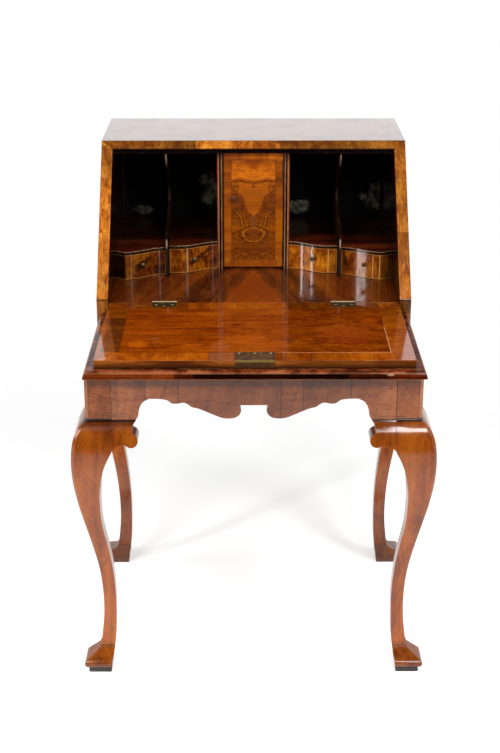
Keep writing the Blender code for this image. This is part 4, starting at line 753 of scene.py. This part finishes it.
def back_wood():
    """Backboard: plain boards outside; inside painted nearly black as painted shade, with grey-green bloom
    where it was rubbed.
    """
    t = Tree("back_board")
    # The inside is painted nearly black: painted shade.
    colour, height = timber(t, "xzy", ("020101", "050302", "0A0604"), 110.0)
    torn = (t.noise((t.x, t.z, 0.0), (60, 45, 0), 3.0, 115.0) - 0.5) * 4.0
    patches = []
    for centre_x, centre_z, wide, high, strength in BLOOM:
        a, b = (t.x - centre_x) / wide, (t.z - centre_z) / high
        patches.append((1.2 - a * a - b * b + torn).high(0.0).low(1.0) * strength)
    streak = t.noise((t.x, t.z, 0.0), (80, 46, 0), 4.0, 113.0).rise(0.34, 0.68)
    bloom = reduce(Val.high, patches) * (streak * 0.8 + 0.12)
    plain, _ = timber(t, "xzy", OAK, 114.0)
    boards = joints(t, t.z, ((0.760, 0.9), (0.880, 0.9)), 0.0006)
    plain = t.blend(boards, t.shade(plain, 0.75), "1A0F07")
    colour = t.over(colour, (bloom, "B4AE92"), (t.backward.rise(0.2, 0.5), plain))
    return t.finish(colour, 0.7, relief(t, height), coat=0.0, level=0.08)


def oak_wood():
    t = Tree("oak")
    colour, height = timber(t, "yxz", OAK, 120.0)
    return t.finish(colour, sheen(t, height, 0.5), relief(t, height), coat=0.0)


def brass(name="brass", tones=("181006", "30220D", "503C1A"), seed=0.0, polished=0.0):
    """Old brass: dark lacquer, a painted highlight along the hinge knuckle's crest, brighter where polished
    is given, and scratched.
    """
    t = Tree(name)
    cloud = t.noise(t.place, 260, 3.0, 140 + seed)
    colour = t.ramp(cloud.rise(0.3, 0.7), *zip((0.0, 0.55, 1.0), tones))
    scratch = t.spots(t.place, (120, 900, 900), 0.18, 0.2, seed)
    mark = scratch.high(t.spots(t.place, 420, 0.2, 0.12, seed + 2))
    # Painted highlight: a bright band at the height of the hinge knuckle's crest (E8D2A0), raised to
    # polished everywhere.
    wear_and_highlight = t.z.gate(BED_Z + 0.0022, BED_Z + 0.0040, 0.0006).high(polished)
    colour = t.over(colour, (mark * 0.6, "C8B078"), (wear_and_highlight * 0.85, "E8D2A0"),
                    (t.arris(0.0005) * 0.4, "A89058"))
    grit = t.noise(t.place, 900, 1.0, seed)
    return t.finish(colour, cloud * 0.3 + 0.30, grit * 0.5 - mark, 0.00005, coat=0.0, metal=0.45, level=0.3)


def lock_brass():
    """The lock plate: olive, duller on top than where it turns down over the front edge."""
    t = Tree("lock_brass")
    cloud = t.noise(t.place, 120, 3.0, 145.0)
    colour = t.ramp(cloud.rise(0.3, 0.7), (0.0, "33200C"), (0.5, "4E3114"), (1.0, "6A4820"))
    ahead = t.backward.rise(-0.3, -0.8)
    pick = t.spots(t.place, 300, 0.2, 0.08, 5.0)
    colour = t.over(colour, (ahead * 0.6, "5A3C1C"),
                    (ahead * t.z.rise(BED_Z - 0.0040, BED_Z - 0.0030) * 0.7, "9A8444"),
                    (ahead * t.z.rise(BED_Z - 0.0100, BED_Z - 0.0130) * 0.6, "3A2A10"),
                    (pick * 0.5, "B8A070"))
    grit = t.noise(t.place, 700, 1.0, 146.0)
    return t.finish(colour, cloud * 0.3 + 0.3, grit * 0.4 - pick, 0.00005, coat=0.0, metal=0.6)


def pad_wood():
    t = Tree("ebonised")
    colour, height = timber(t, "zxy", ("17110D", "2A211B", "43372D"), 150.0)
    colour = t.blend(t.y.rise(0.1, 0.2) * 0.8, colour, "6E3C26")
    chip = t.arris() * t.noise(t.place, 200, 2.0, 4.0).rise(0.5, 0.6)
    return t.finish(t.blend(chip * 0.6, colour, "7A6650"), 0.45, relief(t, height), coat=0.1)


# Edges sharper than this are arrises, in degrees.
SHARP_ANGLE = 35.0


def soften(node, width):
    """Welds a CAD node's split facets and rounds its arrises as far as hand work would."""
    node.data.polygons.foreach_set("use_smooth", [True] * len(node.data.polygons))
    weld = node.modifiers.new("weld", "WELD")
    weld.merge_threshold = 0.000002
    planar = node.modifiers.new("planar", "DECIMATE")
    planar.decimate_type, planar.angle_limit = "DISSOLVE", math.radians(0.4)
    round_off = node.modifiers.new("arris", "BEVEL")
    round_off.width, round_off.segments = width, 2
    round_off.limit_method, round_off.angle_limit = "ANGLE", math.radians(SHARP_ANGLE)
    even = node.modifiers.new("even", "WEIGHTED_NORMAL")
    even.mode, even.weight = "FACE_AREA_WITH_ANGLE", 50


LEG_WOOD, BRASS, OAK_WOOD, LOCK_BRASS = leg_wood(), brass(), oak_wood(), lock_brass()
KNOB_BRASS = brass("knob_brass", ("1E140E", "40301F", "6E5A40"), 3.0, 0.05)
SCREW_BRASS = brass("screw_brass", ("6A5424", "947A40", "B8A064"), 9.0, 0.35)
LOPER = plain_wood("loper_walnut", lambda t: timber(t, "yzx", LEG, 130.0), 0.28, coat=0.2)
FILLET = inner_wood("fillet_wood", "zxy", SHADED_INTERIOR, 111.0, 0.0)
# The keyhole's lining is painted nearly black: painted shade in the hole.
KEYHOLE_DARK = inner_wood("keyhole_dark", "zxy", ("050302", "0A0604", "120B07"), 112.0, 0.0)
KNOB_WOOD = inner_wood("knob_wood", "zxy", ("2A120A", "4A2212", "6E3A22"), 107.0, 0.4)
WOODS = {
    "case_top": top_wood(), "fall_board": fall_wood(), "writing_bed": bed_wood(), "case_back": back_wood(),
    "front_apron": apron_wood(), "cupboard_door": door_wood(), "door_knob": KNOB_WOOD,
    "nest_top": inner_wood("nest_top_wood", "xyz", SHADED_INTERIOR, 109.0, 0.3),
    "waist_moulding": plain_wood(
        "moulding_walnut", lambda t: banding(t, t.z, t.x + t.y, t.x - t.y, AMBER, 0.11, 3.0), 0.2),
    "front_rail": plain_wood("rail_walnut", lambda t: banding(t, t.z, t.x, t.y, AMBER, 0.13, 5.0), 0.22),
    "case_bottom": OAK_WOOD, "back_rail": OAK_WOOD,
}
# Each drawer's material, tone, place of its front, dark marks and pale seams.
DRAWERS = {
    "outer_drawer_left": ("drawer_a_walnut", 0.56, 0.135, [((-0.2180, 0.788), (0.016, 0.010), 0.5, 0.9),
                                                           ((-0.205, 0.799), (0.010, 0.004), 0.9, 0.7)], ()),
    "inner_drawer_left": ("drawer_b_walnut", 0.70, 0.145, [((-0.098, 0.797), (0.026, 0.0045), 0.55, 0.85),
                                                           ((-0.118, 0.783), (0.010, 0.005), 0.2, 0.6)],
                          (-0.1290,)),
    "inner_drawer_right": ("drawer_c_walnut", 0.92, 0.145, [((0.118, 0.793), (0.007, 0.008), 0.3, 0.6),
                                                            ((0.136, 0.800), (0.008, 0.004), 0.6, 0.5)],
                           (0.1467,)),
    "outer_drawer_right": ("drawer_d_walnut", 0.86, 0.135, [((0.1810, 0.789), (0.0035, 0.014), 0.1, 0.9),
                                                            ((0.190, 0.776), (0.010, 0.003), 0.4, 0.5)],
                           (0.2310, 0.2440)),
}
for number, (name, row) in enumerate(DRAWERS.items()):
    WOODS[name] = drawer_wood(*row, number + 1.0)
# Part of a node's name, its material and the radius of its arrises. The first that fits counts.
ARRIS, LEAST_ARRIS = 0.0004, 0.00015
BY_PART = (("leg_", LEG_WOOD, 0.0012), ("knee_bracket", LEG_WOOD, 0.0008),
           ("side_apron", side_apron_wood(), 0.0005), ("foot_pad", pad_wood(), 0.0005),
           ("hinge_leaf", BRASS, 0.0002), ("lock_", LOCK_BRASS, 0.0002),
           ("drawer_left_knob", KNOB_BRASS, 0.0), ("drawer_right_knob", KNOB_BRASS, 0.0),
           ("_shelf", shelf_wood(), ARRIS), ("divider", divider_wood(), ARRIS),
           ("cupboard_wall", wall_wood(), 0.0002), ("case_side", side_wood(), ARRIS),
           ("loper_guide", OAK_WOOD, ARRIS), ("loper_", LOPER, 0.0008))
for name, node in NODES.items():
    match = [row for row in BY_PART if row[0] in name]
    material, width = (WOODS[name], ARRIS) if name in WOODS else match[0][1:]
    node.data.materials.clear()
    node.data.materials.append(material)
    soften(node, max(width, LEAST_ARRIS))


def link(name, data):
    thing = bpy.data.objects.new(name, data)
    bpy.context.scene.collection.objects.link(thing)
    return thing


def loft(bm, rings, closed=False):
    """Skins rings of equally many points, capped at both ends or joined end to end."""
    rows = [[bm.verts.new(point) for point in ring] for ring in rings]
    pairs = list(zip(rows, rows[1:]))
    if closed:
        pairs.append((rows[-1], rows[0]))
    else:
        bm.faces.new(rows[0])
        bm.faces.new(rows[-1])
    for lower, upper in pairs:
        for index in range(len(lower)):
            after = (index + 1) % len(lower)
            bm.faces.new((lower[index], lower[after], upper[after], upper[index]))


def add_piece(name, bm, material, body, place=None):
    """Makes a piece of the mesh, puts it in its place and lets it ride on a body."""
    bmesh.ops.recalc_face_normals(bm, faces=bm.faces)
    if place is not None:
        bm.transform(place)
    mesh = bpy.data.meshes.new(name)
    bm.to_mesh(mesh)
    bm.free()
    mesh.shade_smooth()
    mesh.set_sharp_from_angle(angle=math.radians(SHARP_ANGLE))
    mesh.materials.append(material)
    piece = link(name, mesh)
    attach(piece, body)


def arc(radius, angles, level, side=1):
    """A ring of points on part of a circle, or all of it."""
    return [(radius * math.cos(a), side * radius * math.sin(a), level) for a in angles]


def screw(name, spot, radius, turn):
    """A slotted flat screw head: two halves of a low dome on a disc at the bottom of the slot."""
    bm = bmesh.new()
    half_slot, steps = radius * 0.17, 14
    for side in (1, -1):
        rings = []
        for reach, level in ((1.0, -0.0008), (1.0, 0.00005), (0.90, 0.00018), (0.55, 0.00026)):
            edge = radius * reach
            start = math.asin(half_slot / edge)
            angles = [start + (math.pi - 2 * start) * step / steps for step in range(steps + 1)]
            rings.append(arc(edge, angles, level, side))
        loft(bm, rings)
    angles = [2 * math.pi * step / 24 for step in range(24)]
    loft(bm, [arc(radius * 0.97, angles, level) for level in (-0.0008, -0.0003)])
    place = Matrix.Translation(spot) @ Matrix.Rotation(turn, 4, "Z")
    add_piece(name, bm, SCREW_BRASS, "fall", place)


def escutcheon(name, spot, half_width, half_height, thickness):
    """A shaped key plate with a pierced keyhole, on the outside of the fall."""
    angles = [2 * math.pi * step / 72 for step in range(72)]

    def plate(grow, level):
        reaches = [(a, (1 + 0.10 * math.cos(4 * a) + 0.05 * math.cos(8 * a)) * grow) for a in angles]
        return [(half_width * r * math.cos(a), half_height * r * math.sin(a), level) for a, r in reaches]

    def hole(level, grow=1.0):
        ring = []
        for a in angles:
            down, across = math.sin(a), abs(math.cos(a))
            reach = half_width * 0.19
            if down > 0:
                slot = half_width * 0.085 / max(across, 0.0001)
                reach = max(reach, min(half_height * 0.42 / down, slot))
            ring += arc(reach * grow, [a], level)
        return ring

    bm = bmesh.new()
    loft(bm, [hole(0.0), plate(1.0, 0.0), plate(1.0, -thickness * 0.55), plate(0.95, -thickness),
              hole(-thickness)], closed=True)
    place = Matrix.Translation(spot)
    add_piece(name, bm, SCREW_BRASS, "fall", place)
    bm = bmesh.new()
    loft(bm, [hole(0.0, 1.06), hole(-thickness * 0.2, 1.06)])
    add_piece(name + "_hole", bm, KEYHOLE_DARK, "fall", place)
    for number, end in enumerate((-1, 1)):
        bm = bmesh.new()
        dome = ((1.0, 0.0), (1.0, 1.15), (0.7, 1.55), (0.25, 1.75))
        loft(bm, [arc(half_width * 0.08 * reach, angles[::6], -thickness * level) for reach, level in dome])
        pin = Matrix.Translation((spot[0], spot[1] + end * half_height * 0.86, spot[2]))
        add_piece(f"{name}_pin_{number + 1}", bm, SCREW_BRASS, "fall", pin)


def corner_fillet(name, side):
    """A small hollow-faced glue strip in the corner between the backboard and a case side."""
    bm = bmesh.new()
    corner, back, width = INNER_HALF - 0.0001, 0.3334, 0.0042
    profile = [(corner, back), (corner, back - width)]
    profile += [(corner - width * (1 - math.cos(a)), back - width * (1 - math.sin(a)))
                for a in (math.pi / 8, math.pi / 4, math.pi * 3 / 8)]
    profile.append((corner - width, back))
    rings = [[(side * x, y, z) for x, y in profile] for z in (SHELF_TOP_Z + 0.0003, 0.9972)]
    loft(bm, rings)
    add_piece(name, bm, FILLET, "case_and_stand")


# Screws: x beside the middle of the hinge or lock, y, and turn of the slot.
HINGE_X, HINGE_SCREWS = 0.165, ((-0.0150, -0.0838, 0.5), (0.0, -0.0900, 1.9), (0.0150, -0.0838, 0.9))
LOCK_SCREWS = ((-0.0262, -0.3440, 0.4), (0.0, -0.3440, 1.3), (0.0268, -0.3440, 0.1))
for side, label in ((-1, "left"), (1, "right")):
    corner_fillet(f"back_fillet_{label}", side)
    for number, (shift, y, turn) in enumerate(HINGE_SCREWS):
        screw(f"hinge_screw_{label}_{number + 1}", (side * HINGE_X + shift, y, BED_Z), 0.0023, turn)
for number, (x, y, turn) in enumerate(LOCK_SCREWS):
    screw(f"lock_screw_{number + 1}", (x, y, BED_Z), 0.0024, turn)
escutcheon("key_plate", (0.0, -0.3530, FALL_UNDER_Z), 0.0150, 0.0200, 0.0009)

FLOOR_NEAR, FLOOR_FAR, FLOOR_SIDE = -2.3, 9.0, 7.0
floor_mesh = bpy.data.meshes.new("floor")
floor_mesh.from_pydata([(-FLOOR_SIDE, FLOOR_NEAR, 0), (FLOOR_SIDE, FLOOR_NEAR, 0),
                        (FLOOR_SIDE, FLOOR_FAR, 0), (-FLOOR_SIDE, FLOOR_FAR, 0)], [], [(0, 1, 2, 3)])
floor = link("floor", floor_mesh)


def floor_material(base=0.80, seen=0.50):
    """White paper that keeps the shadow near the object and is plain white to the eye further off."""
    t = Tree("floor_white")
    seen_by = t.source("LightPath", "Is Camera Ray").high(t.source("LightPath", "Is Glossy Ray"))
    off = t.y - 0.15
    far = (t.x * t.x + off * off).root().rise(0.75, 1.9) * seen_by
    glow = t.put("Emission", fields={"Strength": seen_by * seen})
    paper = t.put("AddShader", t.put("BsdfDiffuse", (base, base, base, 1)), glow)
    t.put("OutputMaterial", t.put("MixShader", far, paper, t.put("Emission")))
    return t.material


floor_mesh.materials.append(floor_material())


def studio(fill=0.24, dark=0.05):
    """White to the camera and behind the object, a dim room in front of it."""
    world = bpy.context.scene.world = bpy.data.worlds.new("studio")
    t = Tree("studio", world)
    behind = t.split(t.source("TexCoord", "Generated"))[1]
    room = t.put("MapRange", behind, -0.15, 0.35, dark, 1.0, interpolation_type="SMOOTHSTEP")
    glossy = t.put("Mix", t.source("LightPath", "Is Glossy Ray"), fields={2: fill, 3: room})
    light = t.put("Mix", t.source("LightPath", "Is Camera Ray"), fields={2: glossy, 3: 1.0})
    t.put("OutputWorld", t.put("Background", (1, 1, 1, 1), light))


studio()


def lamp(name, place, aim, width, height, power):
    data = bpy.data.lights.new(name, "AREA")
    data.shape, data.size, data.size_y, data.energy = "RECTANGLE", width, height, power
    thing = link(name, data)
    thing.location = place
    thing.rotation_mode = "QUATERNION"
    thing.rotation_quaternion = (Vector(aim) - Vector(place)).to_track_quat("-Z", "Y")
    thing.visible_camera = False


# Name, place, aim, width, height and power.
for row in (("lamp_left", (-1.25, -1.70, 2.45), (0, 0.0, 0.6), 0.9, 0.9, 36),
            ("lamp_right", (1.45, -1.30, 2.35), (0, 0.0, 0.6), 0.6, 0.9, 32),
            ("lamp_knee", (0.61, -1.90, 2.29), (0.27, -0.12, 0.53), 0.44, 1.1, 29),
            ("lamp_back", (0.0, 2.60, 1.62), (0, 0.3, 1.02), 2.6, 0.9, 4.6),
            ("lamp_low_left", (-2.0, -1.08, 1.52), (0.15, 0.1, 0.80), 0.08, 0.8, 18),
            ("lamp_low_right", (1.10, -1.80, 1.47), (-0.2, 0.1, 0.80), 0.10, 0.5, 2.4),
            ("lamp_side_left", (-2.35, 0.20, 1.45), (-0.3, -0.1, 0.5), 0.4, 0.9, 8)):
    lamp(*row)

# The camera as measured in the photo: focal length and longer side in pixels, angles in radians.
FOCAL_PIXELS, LONG_SIDE_PIXELS, SENSOR_MM = 1447.0, 753, 36.0
PITCH, YAW = math.radians(21.04), 0.0029
camera_data = bpy.data.cameras.new("camera")
camera = link("camera", camera_data)
camera_data.sensor_width, camera_data.lens = SENSOR_MM, FOCAL_PIXELS / LONG_SIDE_PIXELS * SENSOR_MM
camera.location = (-0.01456, -2.6199, 1.5959)
camera.rotation_euler = (math.pi / 2 - PITCH, 0.0, -YAW)
camera_data.clip_start, camera_data.clip_end = 0.05, 60.0
bpy.context.scene.camera = camera
bpy.context.scene.view_settings.view_transform = "Standard"
